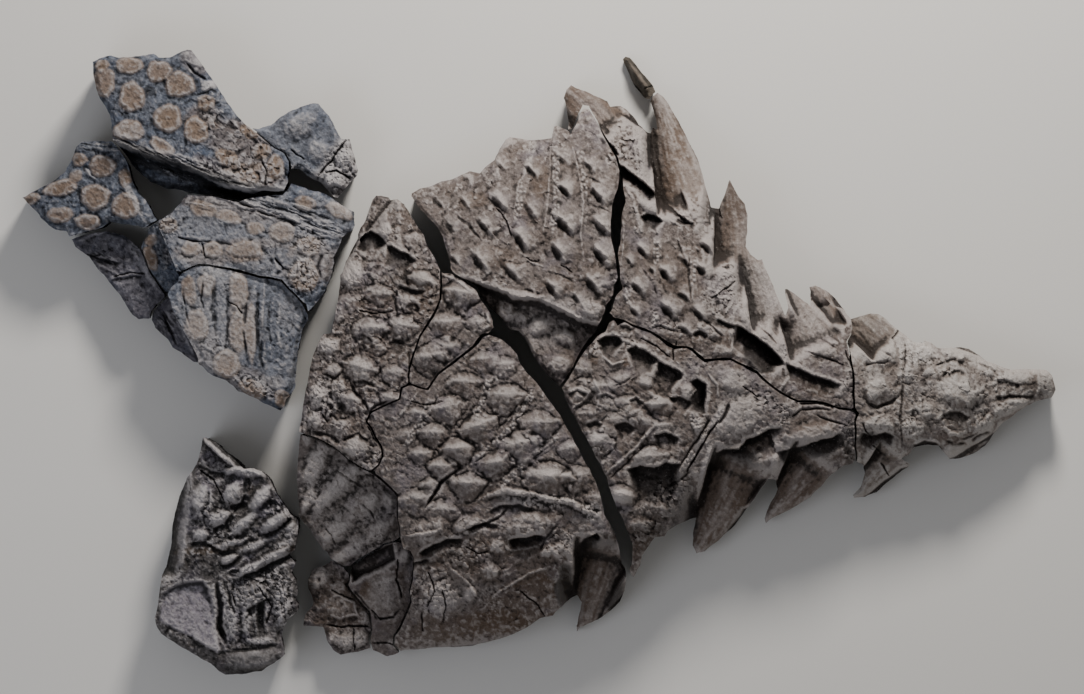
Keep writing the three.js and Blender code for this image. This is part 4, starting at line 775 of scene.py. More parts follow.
def stone(name, deep, low, middle, high, pale, brown, horn="#8c7d6e", disc="#8a776c", side="#4d4844",
          roughness=0.82, grain_mm=4.0, stain=0.5, cool="#77727a"):
    """Fossil rock: painted shade in its hollows, lighter on crests, partly wear and partly painted
    highlight, stained and speckled, with horn or discs. Its shades run from deep, the painted shade
    in hollows, to pale, where it is worn and where highlights are painted. The finest patterns, the
    speckle and the grain, are drawn coarser than the rock's own so that they show."""
    material = bpy.data.materials.new(name)
    material.use_nodes = True
    tree = material.node_tree
    tree.nodes.clear()
    place = add(tree, "ShaderNodeTexCoord").outputs["Object"]
    flatter = 0.22  # a broken side's layers are drawn out this much along the ground
    layered = add(tree, "ShaderNodeMapping", None, Vector=place, Scale=(flatter, flatter, 1.0)).outputs[0]

    # What each pattern comes from: noise of a size in millimetres, with its detail, roughness and
    # distortion, or a value that block() painted. Then the span of it that counts, and what that
    # span becomes.
    patterns = {
        "mottle": ((70, 5, 0.6, 0), (0.35, 0.65), (0, 1)),
        "flecks": ((13, 6, 0.72, 0), (0.42, 0.7), (0, 1)),
        "cool clouds": ((95, 4, 0.6, 0.5), (0.5, 0.68), (0, 0.75)),
        "stains": ((120, 4, 0.6, 1), (0.5, 0.7), (0, stain)),
        "horn stains": ((26, 6, 0.7, 0.6), (0.35, 0.7), (0, 0.3)),
        "disc stains": ((9, 4, 0.7, 0), (0.35, 0.7), (0, 0.45)),
        "wear": ((8, 4, 0.7, 0), (0.3, 0.6), (0.25, 1)),
        # Breaks up the pale tint, which holds real wear and white scutes and also painted highlights.
        "crumbs": ((5.5, 3, 0.75, 0), (0.63, 0.72), (0, 0.55)),
        "side layers": ((20.83, 6, 0.72, 0.6), (0.38, 0.75), (0, 1)),
        "side stains": ((45, 5, 0.7, 0), (0.42, 0.66), (0, 0.55)),
        "side flecks": ((17, 5, 0.75, 0), (0.58, 0.72), (0, 0.5)),
        "speckle": ((3.2, 2, 0.8, 0), (0.3, 0.75), (0.74, 1.2)),
        "sheen": ((20, 3, 0.6, 0), (0.3, 0.7), (roughness - 0.1, roughness + 0.08)),
        "fine grain": ((grain_mm, 5, 0.75, 0), (0, 1), (0, 1)),
        "coarse grain": ((grain_mm * 4, 3, 0.6, 0), (0, 1), (0, 1)),
        # From how far a place stands out: crests bring a painted highlight, hollows painted shade; the dark
        # tint is mostly painted shade.
        "crests": ("cavity", (0.6, 1), (0, 0.6)),
        "hollows": ("cavity", (0.44, 0), (0, 0.85)),
        "shade": ("dark", (0.1, 1), (0, 0.85)),
        "horn": ("horn", (0, 1), (0, 1)),
        "brown": ("brown", (0, 1), (0, 1)),
        "disc": ("disc", (0, 1), (0, 1)),
        "pale": ("pale", (0, 1), (0, 1)),
        "side": ("wall", (0, 1), (0, 1)),
    }
    amount = {}
    for what, (source, span, becomes) in patterns.items():
        if isinstance(source, str):
            value = add(tree, "ShaderNodeAttribute", {"attribute_name": source}).outputs["Fac"]
        else:
            size_mm, detail, gain, distortion = source
            value = add(tree, "ShaderNodeTexNoise", None, Scale=1000 / size_mm, Detail=detail,
                        Vector=layered if what == "side layers" else place,
                        Roughness=gain, Distortion=distortion).outputs[0]
        amount[what] = add(tree, "ShaderNodeMapRange", None, Value=value, From_Min=span[0],
                           From_Max=span[1], To_Min=becomes[0], To_Max=becomes[1]).outputs[0]
    # The pale tint broken up by the wear noise: worn and white places, and painted highlights.
    amount["bright"] = add(tree, "ShaderNodeMath", {"operation": "MULTIPLY"}, i0=amount["pale"],
                           i1=amount["wear"]).outputs[0]

    # Each mix starts from a colour and lays others over it, as far as a pattern says. Horn, discs
    # and the broken sides are mixed first and then laid over the stone themselves.
    mixes = {
        "horn mix": (horn, [("horn stains", brown)]),
        "disc mix": (disc, [("disc stains", brown)]),
        "side mix": (side, [("side layers", deep), ("side stains", low), ("side flecks", middle)]),
        "stone mix": (low, [
            ("mottle", middle), ("flecks", high), ("cool clouds", cool), ("stains", brown),
            ("horn", "horn mix"), ("brown", brown), ("disc", "disc mix"), ("bright", pale),
            ("crests", pale), ("hollows", deep), ("shade", deep), ("crumbs", pale), ("side", "side mix"),
        ]),
    }
    mixed = {}
    for result, (base, layers) in mixes.items():
        colour = linear(base)
        for pattern, over in layers:
            top = mixed[over] if over in mixed else linear(over)
            colour = add(tree, "ShaderNodeMix", {"data_type": "RGBA"}, i0=amount[pattern], i6=colour,
                         i7=top).outputs[2]
        mixed[result] = colour
    light = amount["speckle"]
    speckle = add(tree, "ShaderNodeCombineColor", None, Red=light, Green=light, Blue=light)
    colour = add(tree, "ShaderNodeMix", {"data_type": "RGBA", "blend_type": "MULTIPLY"}, i0=1.0,
                 i6=mixed["stone mix"], i7=speckle.outputs[0]).outputs[2]

    # Grain and small pits in the light, and a dull, slightly uneven sheen that reflects little.
    normal = {}
    for grain, strength, depth in (("fine grain", 0.55, 0.0022), ("coarse grain", 0.5, 0.005)):
        bump = add(tree, "ShaderNodeBump", None, Height=amount[grain], Strength=strength, Distance=depth,
                   **normal)
        normal = {"Normal": bump.outputs[0]}
    shader = add(tree, "ShaderNodeBsdfPrincipled", None, Base_Color=colour, Roughness=amount["sheen"],
                 **normal)
    shader.inputs["Specular IOR Level"].default_value = 0.35
    output = add(tree, "ShaderNodeOutputMaterial")
    tree.links.new(shader.outputs[0], output.inputs[0])
    return material


# Skin and armour turned to stone: taupe grey, whitish on worn crests that also get painted
# highlights, with painted shade near black in hollows.
fossil_skin = stone(
    "fossil skin and armour", "#17110f", "#574d4a", "#736965", "#8f8581", "#c1b9b6", "#5e4d41",
    horn="#7e6f66", side="#4a423e", cool="#7b747a",
)

block(
    "left_trunk_block", "trunk_stone", fossil_skin, body, seed=3,
    plate=[
        (497, 204, 17, 23), (484, 228, 15, 18), (478, 262, 18, 20), (450, 228, 13, 10),
        (520, 242, 17, 25), (512, 275, 15, 17), (530, 173, 14, 15), (530, 212, 15, 14),
        (562, 226, 17, 27), (563, 192, 15, 20), (557, 254, 17, 25), (551, 290, 15, 20),
        (597, 198, 15, 23), (600, 229, 17, 28), (599, 258, 17, 26), (591, 286, 16, 21),
        (587, 168, 12, 14), (561, 160, 13, 12), (455, 262, 10, 8), (466, 205, 11, 9), (603, 142, 11, 12),
        (500, 166, 12, 8), (468, 182, 10, 8), (440, 205, 10, 8), (575, 300, 11, 10),
    ],
    lump=[
        (541, 326, 13, 9, 20, 16), (507, 311, 10, 11, 0, 20), (590, 309, 13, 9, -10, 18),
        (560, 365, 12, 9, 0, 14), (566, 338, 12, 8, -20, 14), (520, 318, 9, 7, 0, 10),
        (523, 296, 16, 5, -20, 8), (505, 141, 9, 9, 0, 10),
    ],
    ridge=[
        ([(568, 136), (576, 162), (582, 200), (581, 234), (583, 270)], 1.3, 5),
        ([(551, 140), (550, 180), (546, 218), (544, 240)], 1.3, 4),
        ([(538, 145), (519, 185), (512, 225)], 1.2, 4), ([(518, 250), (530, 262), (548, 268)], 1.2, 4),
        ([(440, 288), (462, 284), (470, 272)], 1.5, 5), ([(585, 178), (598, 184), (612, 192)], 1.3, -5),
        ([(584, 205), (598, 208), (611, 214)], 1.3, -5), ([(545, 272), (560, 276), (574, 284)], 1.3, -5),
        ([(510, 288), (530, 292), (548, 296)], 1.5, -6), ([(455, 215), (470, 226), (482, 243)], 1.6, -7),
        ([(503, 262), (520, 264), (538, 260)], 1.2, -4),
    ],
    beads=[
        [(534, 140), (530, 152), (526, 174), (525, 184), (521, 198), (518, 212), (517, 226)],
        [(556, 140), (556, 160), (556, 182), (557, 198), (555, 214), (553, 236)],
        [(578, 150), (583, 165), (584, 182), (583, 200), (582, 228)],
        [(497, 160), (496, 176), (490, 184)], [(460, 185), (456, 200), (450, 212)],
    ],
    rubble=[
        (612, 162, 9, 6, -20, 9, 5, 0.8), (530, 148, 8, 7, 0, 8, 4, 0.7),
        (502, 282, 9, 5, -20, 9, 4, 0.5),
    ],
    patch=[
        (540, 178, 9, 22, 0, "brown", 0.55), (474, 202, 16, 10, 10, "brown", 0.55),
        (500, 258, 26, 12, -20, "brown", 0.45), (558, 287, 18, 9, -10, "brown", 0.5),
        (532, 216, 10, 14, 0, "brown", 0.45), (606, 222, 14, 60, 0, "pale", 0.16),
        (447, 200, 14, 10, 10, "dark", 0.3), (449, 228, 9, 9, 0, "dark", 0.4),
        (528, 318, 16, 8, -15, "dark", 0.1), (568, 330, 26, 9, -12, "dark", 0.12),
        (490, 290, 12, 7, -30, "dark", 0.35), (535, 325, 60, 26, 20, "pale", 0.4),
        (507, 311, 10, 8, 0, "brown", 0.5), (541, 327, 9, 4, 0, "pale", 0.08),
    ],
    crack=[
        [(526, 258), (534, 262), (540, 261)], [(560, 266), (572, 272)],
        [(497, 210), (506, 222), (512, 238)],
    ],
    shelf=[(
        [
            (455, 276), (480, 283), (507, 292), (514, 297), (540, 299), (562, 310), (582, 320), (608, 326),
            (600, 345), (570, 395), (540, 385), (505, 335), (474, 300),
        ], 60, 6,
    )],
)


# Wedge of the back, of the same skin turned to stone: a small block that fits between the left
# and right trunk, with a few broad plates and an open gap along one side.
block(
    "back_wedge_block", "trunk_stone", fossil_skin, body, seed=7, keel=0, lozenges=True,
    plate=[
        (463, 292, 14, 26), (430, 355, 14, 22), (447, 322, 12, 18), (478, 322, 10, 12),
        (446, 345, 12, 16),
    ],
    ridge=[([(444, 275), (458, 281), (474, 292)], 2.2, 8), ([(486, 312), (493, 324), (480, 333)], 2.2, 8)],
    rubble=[(482, 322, 8, 10, 0, 9, 4, 0.5)],
    patch=[
        (452, 310, 12, 5, -25, "dark", 0.4), (430, 372, 10, 8, 0, "dark", 0.4),
        (448, 330, 9, 8, 0, "brown", 0.4),
    ],
    skin=(15, 3.2, 1.2, 5.5, 4),
)

# Rear end of the trunk, of fossil skin broken open: knobbly armour with a deep hollow under its
# top, painted dark as shade, and ledges down its outer side with painted highlights. It fits on to
# the trunk blocks along old breaks.
block(
    "rear_trunk_block", "trunk_stone", fossil_skin, body, seed=12, keel=-12, lozenges=True,
    plate=[
        (372, 327, 13, 22), (362, 366, 14, 22), (395, 372, 9, 12), (425, 281, 13, 18), (388, 418, 13, 14),
        (405, 325, 12, 14), (380, 292, 11, 12), (410, 300, 10, 12), (352, 398, 10, 14),
        (396, 398, 11, 12), (377, 345, 10, 10), (350, 300, 9, 8), (417, 240, 10, 10),
    ],
    lump=[
        (351, 275, 13, 14, -30, 22), (328, 345, 12, 9, 0, 16), (318, 395, 9, 12, 0, 16),
        (340, 388, 8, 10, 0, 16), (316, 420, 9, 7, -30, 14), (358, 446, 12, 12, 0, 22),
        (395, 470, 12, 8, 0, 16), (342, 426, 10, 10, 0, 12), (386, 231, 7, 8, 0, 14),
        (350, 205, 9, 12, 0, 8), (335, 370, 9, 7, 0, 10), (423, 278, 12, 9, 0, 8),
        (338, 312, 8, 10, 0, 10), (376, 215, 12, 10, 0, 10),
    ],
    pit=[(399, 347, 9, 8, 0, 10), (414, 310, 7, 7, 0, 8), (343, 408, 5, 7, 0, 8), (366, 340, 9, 5, -25, 9)],
    ridge=[
        ([(323, 334), (334, 331), (346, 333)], 2, 9), ([(371, 202), (366, 222), (356, 244)], 2.2, 6),
        ([(400, 196), (410, 210), (420, 226), (432, 246)], 2.2, 7),
        ([(362, 308), (385, 313), (402, 310)], 1.4, -6),
        ([(350, 378), (357, 392), (367, 403), (371, 410)], 1.8, -16),
        ([(371, 411), (380, 404), (390, 401)], 1.6, -12), ([(330, 412), (340, 420), (352, 418)], 1.5, -9),
        ([(322, 372), (336, 378), (344, 372)], 1.5, -8), ([(398, 288), (396, 305), (400, 322)], 1.4, -6),
        ([(352, 348), (368, 352), (384, 358)], 1.4, -7),
        ([(345, 255), (356, 252), (368, 262), (384, 262)], 1.5, -6),
        ([(410, 352), (412, 372), (408, 392)], 1.6, -9),
    ],
    step=[
        ([(354, 252), (361, 237), (370, 231), (380, 235), (390, 246)], 52, 20, 0.95),
        ([(388, 245), (397, 248), (409, 253), (420, 262)], 30, 22, 0.75),
        ([(398, 284), (412, 289), (428, 291)], 16, 8), ([(346, 436), (360, 432), (372, 440)], 12, 5),
        ([(310, 428), (330, 432), (345, 440)], 14, 6), ([(372, 470), (392, 462), (412, 466)], 14, 7),
        ([(352, 380), (366, 378), (380, 384)], 12, 6),
    ],
    rubble=[
        (325, 352, 14, 16, 0, 15, 7, 0.5), (330, 395, 18, 22, 0, 17, 9, 0.5),
        (385, 440, 20, 20, 0, 17, 6, 0.2), (392, 205, 16, 9, 0, 10, 5, 0.3),
        (392, 236, 12, 8, 0, 10, 5, 0.5), (365, 460, 22, 12, 0, 16, 7, 0.4),
    ],
    patch=[
        (352, 273, 12, 14, -30, "pale", 0.6), (385, 231, 7, 9, 0, "pale", 0.7),
        (363, 366, 11, 8, 0, "pale", 0.6), (320, 392, 10, 15, 0, "pale", 0.6),
        (329, 345, 12, 8, 0, "pale", 0.5), (399, 268, 12, 16, 15, "dark", 0.45),
        (378, 242, 13, 8, 0, "dark", 0.35), (312, 420, 8, 14, 0, "pale", 0.4),
        (345, 452, 20, 9, 30, "pale", 0.35), (378, 305, 26, 14, 0, "brown", 0.5),
        (415, 285, 14, 14, 0, "dark", 0.35), (404, 345, 10, 12, 0, "dark", 0.45),
        (372, 437, 14, 20, 0, "dark", 0.3), (342, 410, 8, 12, 0, "dark", 0.35),
        (420, 300, 16, 26, 0, "brown", 0.3),
    ],
    crack=[
        [(370, 425), (375, 437), (382, 446), (384, 456)], [(323, 413), (330, 422)],
        [(345, 440), (355, 436)], [(360, 310), (375, 314), (388, 312)],
    ],
    skin=(14, 4.2, 1.5, 7, 5), wear=4.5,
)

# Right flank at the rear, of layered fossil skin and rock: the layers are broken into steep
# ridges that climb towards the back.
block(
    "right_flank_block", "trunk_stone", fossil_skin, slab((345, 505), 205, 0.02, 0.27), seed=19,
    lump=[
        (318, 463, 24, 9, 66, 20), (340, 484, 26, 11, 40, 24), (322, 504, 14, 8, 50, 14),
        (366, 503, 20, 12, 32, 18), (336, 530, 22, 10, 44, 18), (380, 530, 18, 9, 34, 18),
        (346, 553, 22, 8, 34, 14), (308, 500, 16, 6, 64, 12), (343, 478, 10, 8, 20, 9),
        (372, 497, 9, 7, 10, 8), (356, 540, 9, 6, 0, 8), (330, 450, 8, 6, 0, 8),
        (362, 468, 14, 8, 20, 14), (308, 440, 6, 8, 0, 10), (388, 500, 7, 8, 0, 12),
    ],
    ridge=[
        ([(336, 470), (352, 480), (366, 490)], 1.4, -7), ([(360, 500), (370, 510), (376, 520)], 1.4, -7),
        ([(324, 528), (332, 536), (336, 546)], 1.4, -7),
    ],
    rubble=[
        (350, 505, 46, 56, 30, 20, 3.5, 0.25), (318, 480, 14, 30, 0, 13, 4, 0.4),
        (372, 545, 22, 10, 20, 11, 4, 0.3),
    ],
    patch=[
        (345, 500, 52, 64, 0, "pale", 0.3), (342, 480, 16, 12, 36, "pale", 0.8),
        (314, 462, 8, 20, -15, "pale", 0.55), (326, 498, 14, 7, 44, "pale", 0.5),
        (334, 532, 18, 6, 38, "pale", 0.35), (340, 556, 14, 5, 36, "pale", 0.35),
        (368, 503, 18, 8, 36, "brown", 0.5), (330, 512, 28, 4, 42, "brown", 0.4),
        (356, 536, 26, 4, 38, "brown", 0.5), (332, 474, 24, 3.5, 52, "dark", 0.25),
    ],
    skin=(15, 2.0, 1.0, 6, 4), wear=4.5, strata=2,
)

# Low blocks in the belly's recess, of the same stone: one has a smooth slope under a shelf painted
# dark as shade, the other is a crumbly corner with a worn oval plate. Both sit lower than the flank
# beside them.
block(
    "right_belly_block", "trunk_stone", fossil_skin, slab((385, 600), 135, 0.05, 0.15), seed=23,
    lump=[
        (382, 598, 20, 18, 0, 14), (405, 556, 6, 9, -25, 20), (392, 645, 8, 6, 0, 8),
        (388, 578, 9, 9, 0, 7),
    ],
    shelf=[([(346, 562), (368, 550), (394, 542), (396, 560), (384, 568), (366, 576), (352, 584)], 38, 4)],
    ridge=[
        ([(370, 612), (376, 620), (392, 618), (400, 610)], 1.4, -8),
        ([(352, 590), (362, 602), (370, 612)], 1.4, -8),
    ],
    patch=[
        (368, 556, 20, 9, 25, "dark", 0.9), (365, 590, 7, 9, 0, "brown", 0.6),
        (385, 600, 26, 40, 0, "brown", 0.4), (383, 582, 12, 9, 0, "pale", 0.3),
        (358, 573, 7, 3, 15, "dark", 0.8), (385, 600, 22, 30, 0, "pale", 0.2),
    ],
    crack=[
        [(370, 612), (380, 620), (392, 618)], [(371, 645), (385, 644), (396, 648)],
        [(398, 560), (396, 580), (402, 600)],
    ],
    skin=(12, 1.6, 1.2, 4, 3),
)
block(
    "belly_corner_block", "trunk_stone", fossil_skin, slab((338, 610), 100, 0, 0.12), seed=29,
    lump=[
        (318, 580, 12, 14, -20, 16), (338, 608, 21, 12, -8, 16), (362, 619, 7, 7, 0, 12),
        (345, 643, 9, 8, 0, 20), (359, 640, 8, 8, 0, 18), (335, 590, 10, 8, 0, 10),
        (333, 640, 8, 6, 0, 10),
    ],
    ridge=[([(322, 602), (338, 597), (354, 604), (356, 616), (340, 620), (324, 614)], 1.6, 6),
           ([(325, 627), (345, 629), (368, 628)], 1.4, -8)],
    rubble=[(348, 640, 20, 14, 0, 13, 6, 0.35)],
    patch=[
        (338, 610, 30, 34, 0, "brown", 0.55), (318, 578, 9, 11, -20, "pale", 0.2),
        (338, 608, 14, 8, 0, "brown", 0.4), (320, 600, 14, 8, 0, "dark", 0.3),
        (348, 640, 18, 12, 0, "pale", 0.2),
    ],
    crack=[
        [(325, 627), (345, 629), (368, 628)], [(352, 630), (353, 652)],
        [(330, 592), (340, 596), (352, 600)],
    ],
    skin=(10, 3.0, 1.8, 6, 3), wear=4.5,
)

# Right trunk, of fossil skin and armour: diagonal rows of keeled plates like diamonds, a pale edge
# ridge with a painted highlight, then the flank falling to the floor with hollows painted dark as
# shade, and a spine that droops from the front corner.
block(
    "right_trunk_block", "trunk_stone", fossil_skin, body, seed=31, keel=6, lozenges=True,
    plate=[
        (449, 405, 13, 19), (465, 381, 13, 15), (507, 394, 15, 23), (479, 424, 15, 27),
        (434, 431, 12, 15), (458, 446, 13, 25), (443, 464, 11, 19), (521, 442, 16, 25),
        (539, 421, 14, 21), (497, 460, 13, 25), (469, 481, 14, 21), (548, 474, 19, 27),
        (418, 496, 13, 12), (577, 474, 12, 15), (441, 508, 13, 13), (570, 446, 11, 12),
        (503, 364, 11, 11), (484, 359, 11, 11), (418, 412, 9, 9), (422, 452, 10, 11), (408, 432, 8, 8),
        (430, 482, 9, 10), (596, 496, 9, 9),
    ],
    lump=[
        (528, 524, 30, 13, 10, 20), (430, 530, 18, 11, 20, 20), (440, 600, 20, 18, 0, 14),
        (470, 593, 7, 7, 0, 10), (490, 570, 9, 9, 40, 14), (500, 545, 12, 8, 0, 10),
        (468, 522, 14, 8, 20, 14), (555, 550, 14, 9, 10, 14),
    ],
    ridge=[
        ([
            (481, 499), (491, 494), (507, 489), (527, 492), (547, 498), (567, 500), (583, 508),
            (600, 516),
        ], 4, 20), ([(465, 463), (454, 472), (441, 482), (433, 496), (425, 510)], 1.8, -18),
        ([(510, 505), (497, 518), (480, 525), (462, 530)], 1.6, -12),
        ([(405, 535), (425, 532), (445, 528)], 2, 10), ([(402, 380), (410, 372), (425, 366)], 1.4, -7),
        ([(400, 420), (408, 405), (420, 392)], 1.6, 6), ([(560, 436), (545, 448), (532, 458)], 1.3, -7),
        ([(520, 402), (508, 418), (497, 430)], 1.2, -6), ([(448, 565), (466, 580), (480, 600)], 1.6, 6),
        ([(480, 612), (500, 590), (530, 572), (560, 562)], 1.6, 6),
        ([(560, 520), (545, 536), (540, 552)], 1.5, -9), ([(580, 556), (581, 575), (578, 592)], 1.6, -16),
    ],
    step=[
        ([(508, 538), (522, 536), (536, 532), (546, 534)], 44, 12, 0.95),
        ([(574, 548), (584, 538), (596, 532), (602, 540)], 48, 13, 0.95),
        ([(417, 552), (430, 544), (446, 537), (466, 536)], 34, 11, 0.85),
        ([(468, 526), (484, 521), (500, 524)], 20, 7),
        ([(486, 512), (500, 504), (520, 502), (540, 508)], 18, 8),
        ([(400, 575), (415, 560), (432, 556)], 14, 8),
    ],
    beads=[
        [(537, 388), (524, 404), (515, 422), (503, 436), (493, 444), (483, 454), (468, 462)],
        [(560, 432), (548, 444), (535, 454), (519, 470), (508, 478), (499, 486)],
        [(490, 378), (485, 400), (481, 408), (474, 416)],
        [(434, 396), (425, 418), (413, 436), (408, 448)], [(515, 362), (500, 372), (494, 384)],
    ],
    rubble=[
        (430, 590, 26, 26, 0, 14, 5, 0.35), (545, 500, 40, 8, -6, 12, 6, 0.5),
        (590, 510, 10, 10, 0, 12, 7, 0.6), (470, 552, 26, 14, 20, 14, 6, 0.25),
        (560, 540, 20, 14, 0, 14, 6, 0.2), (590, 440, 10, 16, -60, 9, 4, 0.3),
        (490, 600, 12, 14, 0, 10, 4, 0.3),
    ],
    patch=[
        (540, 498, 46, 7, -6, "pale", 0.45), (592, 512, 9, 10, 0, "pale", 0.5),
        (548, 472, 15, 5, 0, "pale", 0.45), (520, 605, 60, 24, 22, "brown", 0.65),
        (500, 560, 100, 26, 0, "brown", 0.45), (500, 630, 100, 20, 0, "brown", 0.6),
        (420, 450, 12, 40, 0, "dark", 0.2), (450, 590, 30, 26, 0, "pale", 0.2),
        (526, 549, 16, 9, 10, "dark", 0.6), (589, 547, 9, 12, -10, "dark", 0.6),
        (440, 556, 24, 8, 15, "dark", 0.5), (400, 520, 9, 26, 0, "dark", 0.3),
        (500, 645, 110, 12, 6, "dark", 0.25), (564, 585, 10, 24, -10, "brown", 0.8),
        (564, 585, 10, 24, -10, "dark", 0.9), (612, 588, 14, 34, 15, "brown", 0.8),
        (612, 588, 14, 34, 15, "dark", 0.9), (600, 542, 20, 12, 0, "brown", 0.6),
        (600, 542, 20, 12, 0, "dark", 0.6),
    ],
    crack=[
        [(422, 612), (423, 632)], [(443, 588), (446, 604), (443, 622)],
        [(520, 590), (538, 604), (545, 616)], [(430, 570), (436, 590), (428, 606)],
        [(466, 545), (480, 552), (490, 549)], [(412, 400), (428, 404), (444, 400)],
    ],
    spine=[((606, 546), (583, 630), (27, 9), (180, 70), 60, 0.8, 0.2)],
)

# Left shoulder and neck, of fossil skin with horn spines grown into it: the big shoulder spine
# over a smaller one, a stump behind them and four neck spikes, rows of keeled plates and a deep
# hollow along the neck, painted dark as shade.
block(
    "left_shoulder_block", "trunk_stone", fossil_skin, body, seed=43, keel=-52,
    plate=[
        (641, 253, 13, 18), (664, 275, 15, 22), (665, 311, 17, 26), (636, 290, 14, 18),
        (705, 249, 15, 18), (700, 272, 14, 20), (697, 314, 13, 20), (650, 272, 9, 8), (682, 298, 12, 12),
        (683, 262, 11, 10), (655, 246, 9, 8), (628, 262, 9, 8), (716, 300, 10, 8), (633, 312, 11, 12),
        (683, 330, 11, 12),
    ],
    lump=[
        (585, 108, 6, 9, 0, 16), (620, 112, 14, 9, 0, 10), (643, 145, 10, 20, 0, 10),
        (650, 207, 14, 7, -25, 16), (600, 150, 8, 16, -30, 12), (752, 322, 14, 7, -35, 12),
        (812, 348, 30, 7, -12, 12), (790, 340, 5, 12, 10, 12), (835, 388, 12, 9, 0, 8),
        (708, 330, 14, 7, -20, 10), (862, 340, 9, 8, 0, 6), (720, 350, 12, 6, -10, 10),
    ],
    ridge=[
        ([(634, 128), (634, 150), (637, 170)], 1.6, 7),
        ([(625, 190), (632, 200), (636, 215), (640, 232)], 2.0, 8),
        ([(624, 214), (622, 245), (619, 278)], 1.2, 4), ([(687, 252), (688, 275), (689, 302)], 1.3, -8),
        ([(708, 214), (712, 238), (718, 262)], 1.8, -12), ([(783, 362), (786, 378), (778, 392)], 2.2, 10),
        ([(797, 349), (820, 357), (846, 366)], 1.3, -9), ([(800, 330), (818, 338), (838, 350)], 1.3, -7),
        ([(806, 318), (822, 330), (840, 342)], 1.3, -7), ([(728, 330), (731, 342), (729, 354)], 1.6, 7),
        ([(745, 318), (760, 328), (776, 344)], 1.4, -8), ([(657, 108), (660, 132), (663, 168)], 1.8, -16),
        ([(640, 268), (652, 285), (656, 300)], 1.2, -5), ([(676, 240), (682, 256), (686, 270)], 1.2, -6),
        ([(616, 160), (606, 142), (598, 122)], 1.5, 7), ([(664, 176), (680, 182), (700, 188)], 1.4, -7),
        ([(672, 190), (688, 200), (706, 212)], 1.4, -7), ([(700, 318), (712, 328), (722, 338)], 1.6, -9),
        ([(645, 330), (660, 326), (676, 332)], 1.4, -6), ([(668, 220), (680, 226), (694, 224)], 1.6, 7),
    ],
    step=[
        ([(617, 165), (627, 171), (640, 179), (652, 190), (660, 198)], 88, 15, 1.0),
        ([(650, 188), (664, 200), (678, 213), (692, 224)], 34, 7, 0.85),
        ([(638, 218), (646, 214), (656, 216), (664, 222)], 36, 14, 0.8),
        ([(733, 323), (742, 327), (753, 335), (766, 344), (779, 356), (785, 366)], 92, 24, 1.0),
        ([(596, 114), (604, 121), (611, 134)], 26, 9, 0.8),
        ([(607, 142), (614, 147), (619, 158)], 22, 8, 0.7),
        ([(782, 361), (795, 367), (810, 373), (824, 378), (842, 384)], 36, 16, 0.75),
        ([(600, 118), (612, 121), (624, 119)], 12, 5), ([(716, 318), (726, 322), (736, 325)], 20, 8, 0.7),
        ([(676, 218), (684, 222), (694, 222)], 18, 9, 0.6), ([(689, 334), (698, 330), (708, 336)], 16, 8),
    ],
    pit=[(728, 268, 5, 3, 0, 14), (690, 356, 6, 4, 0, 14), (860, 350, 5, 6, 0, 10)],
    beads=[
        [(694, 258), (691, 270), (692, 285), (694, 300), (700, 308)],
        [(656, 240), (656, 262), (657, 282)], [(711, 204), (712, 220), (714, 240)],
        [(630, 282), (627, 296), (630, 306)], [(633, 206), (635, 222), (640, 234)],
        [(655, 312), (656, 322), (648, 326)],
    ],
    rubble=[
        (722, 298, 22, 24, 20, 13, 5, 0.8), (735, 272, 14, 9, 0, 10, 6, 0.6),
        (790, 348, 12, 12, 0, 11, 7, 0.7), (690, 196, 22, 16, -40, 17, 6, 0.25),
        (625, 140, 30, 22, -30, 14, 7, 0.35), (645, 170, 14, 30, 0, 12, 5, 0.3),
        (712, 212, 6, 8, 0, 9, 6, 0.8), (852, 378, 8, 22, 0, 12, 6, 0.7),
        (740, 385, 30, 8, -30, 13, 5, 0.3), (665, 325, 22, 8, -10, 12, 5, 0.4),
        (620, 110, 20, 9, 0, 16, 7, 0.15), (684, 216, 12, 6, -35, 10, 6, 0.8),
    ],
    patch=[
        (757, 358, 20, 13, -42, "dark", 0.9), (812, 386, 26, 8, -12, "dark", 0.45),
        (812, 386, 26, 9, -12, "brown", 0.6), (690, 268, 12, 26, 0, "brown", 0.3),
        (650, 262, 18, 18, 0, "brown", 0.35), (573, 112, 9, 24, 0, "dark", 0.5),
        (620, 112, 22, 8, 0, "brown", 0.4), (590, 105, 14, 14, 0, "brown", 0.5),
        (690, 200, 26, 14, -40, "brown", 0.3), (826, 318, 16, 20, -50, "dark", 0.3),
        (640, 150, 22, 30, -20, "dark", 0.18), (712, 345, 20, 8, 0, "dark", 0.2),
        (715, 322, 10, 5, -20, "dark", 0.5), (650, 224, 8, 8, 0, "dark", 0.5),
        (722, 368, 16, 8, 0, "pale", 0.3),
    ],
    crack=[
        [(710, 300), (722, 291), (734, 281)], [(742, 386), (750, 391), (757, 397)],
        [(720, 268), (728, 268)], [(675, 342), (674, 356)], [(845, 350), (852, 370), (851, 400)],
        [(612, 200), (617, 230), (614, 262)],
    ],
    spine=[
        ((672, 212), (655, 121), (13, 5), (215, 110), 60, 0.9, 0.4),
        ((690, 206), (658, 93), (24, 8), (250, 78), 90, 1.0, 0.2),
        ((608, 134), (567, 86), (24, 15), (185, 80), 60, 0.75, 0.1),
        ((824, 330), (811, 286), (19, 12), (190, 110), 40, 0.5, 0.1),
        ((815, 348), (787, 289), (24, 12), (235, 175), 45, 0.2, -0.3),
        ((775, 326), (752, 246), (20, 11), (240, 195), 45, 0.1, -0.6),
        ((738, 266), (733, 178), (22, 13), (200, 130), 35, 0.5),
    ],
)

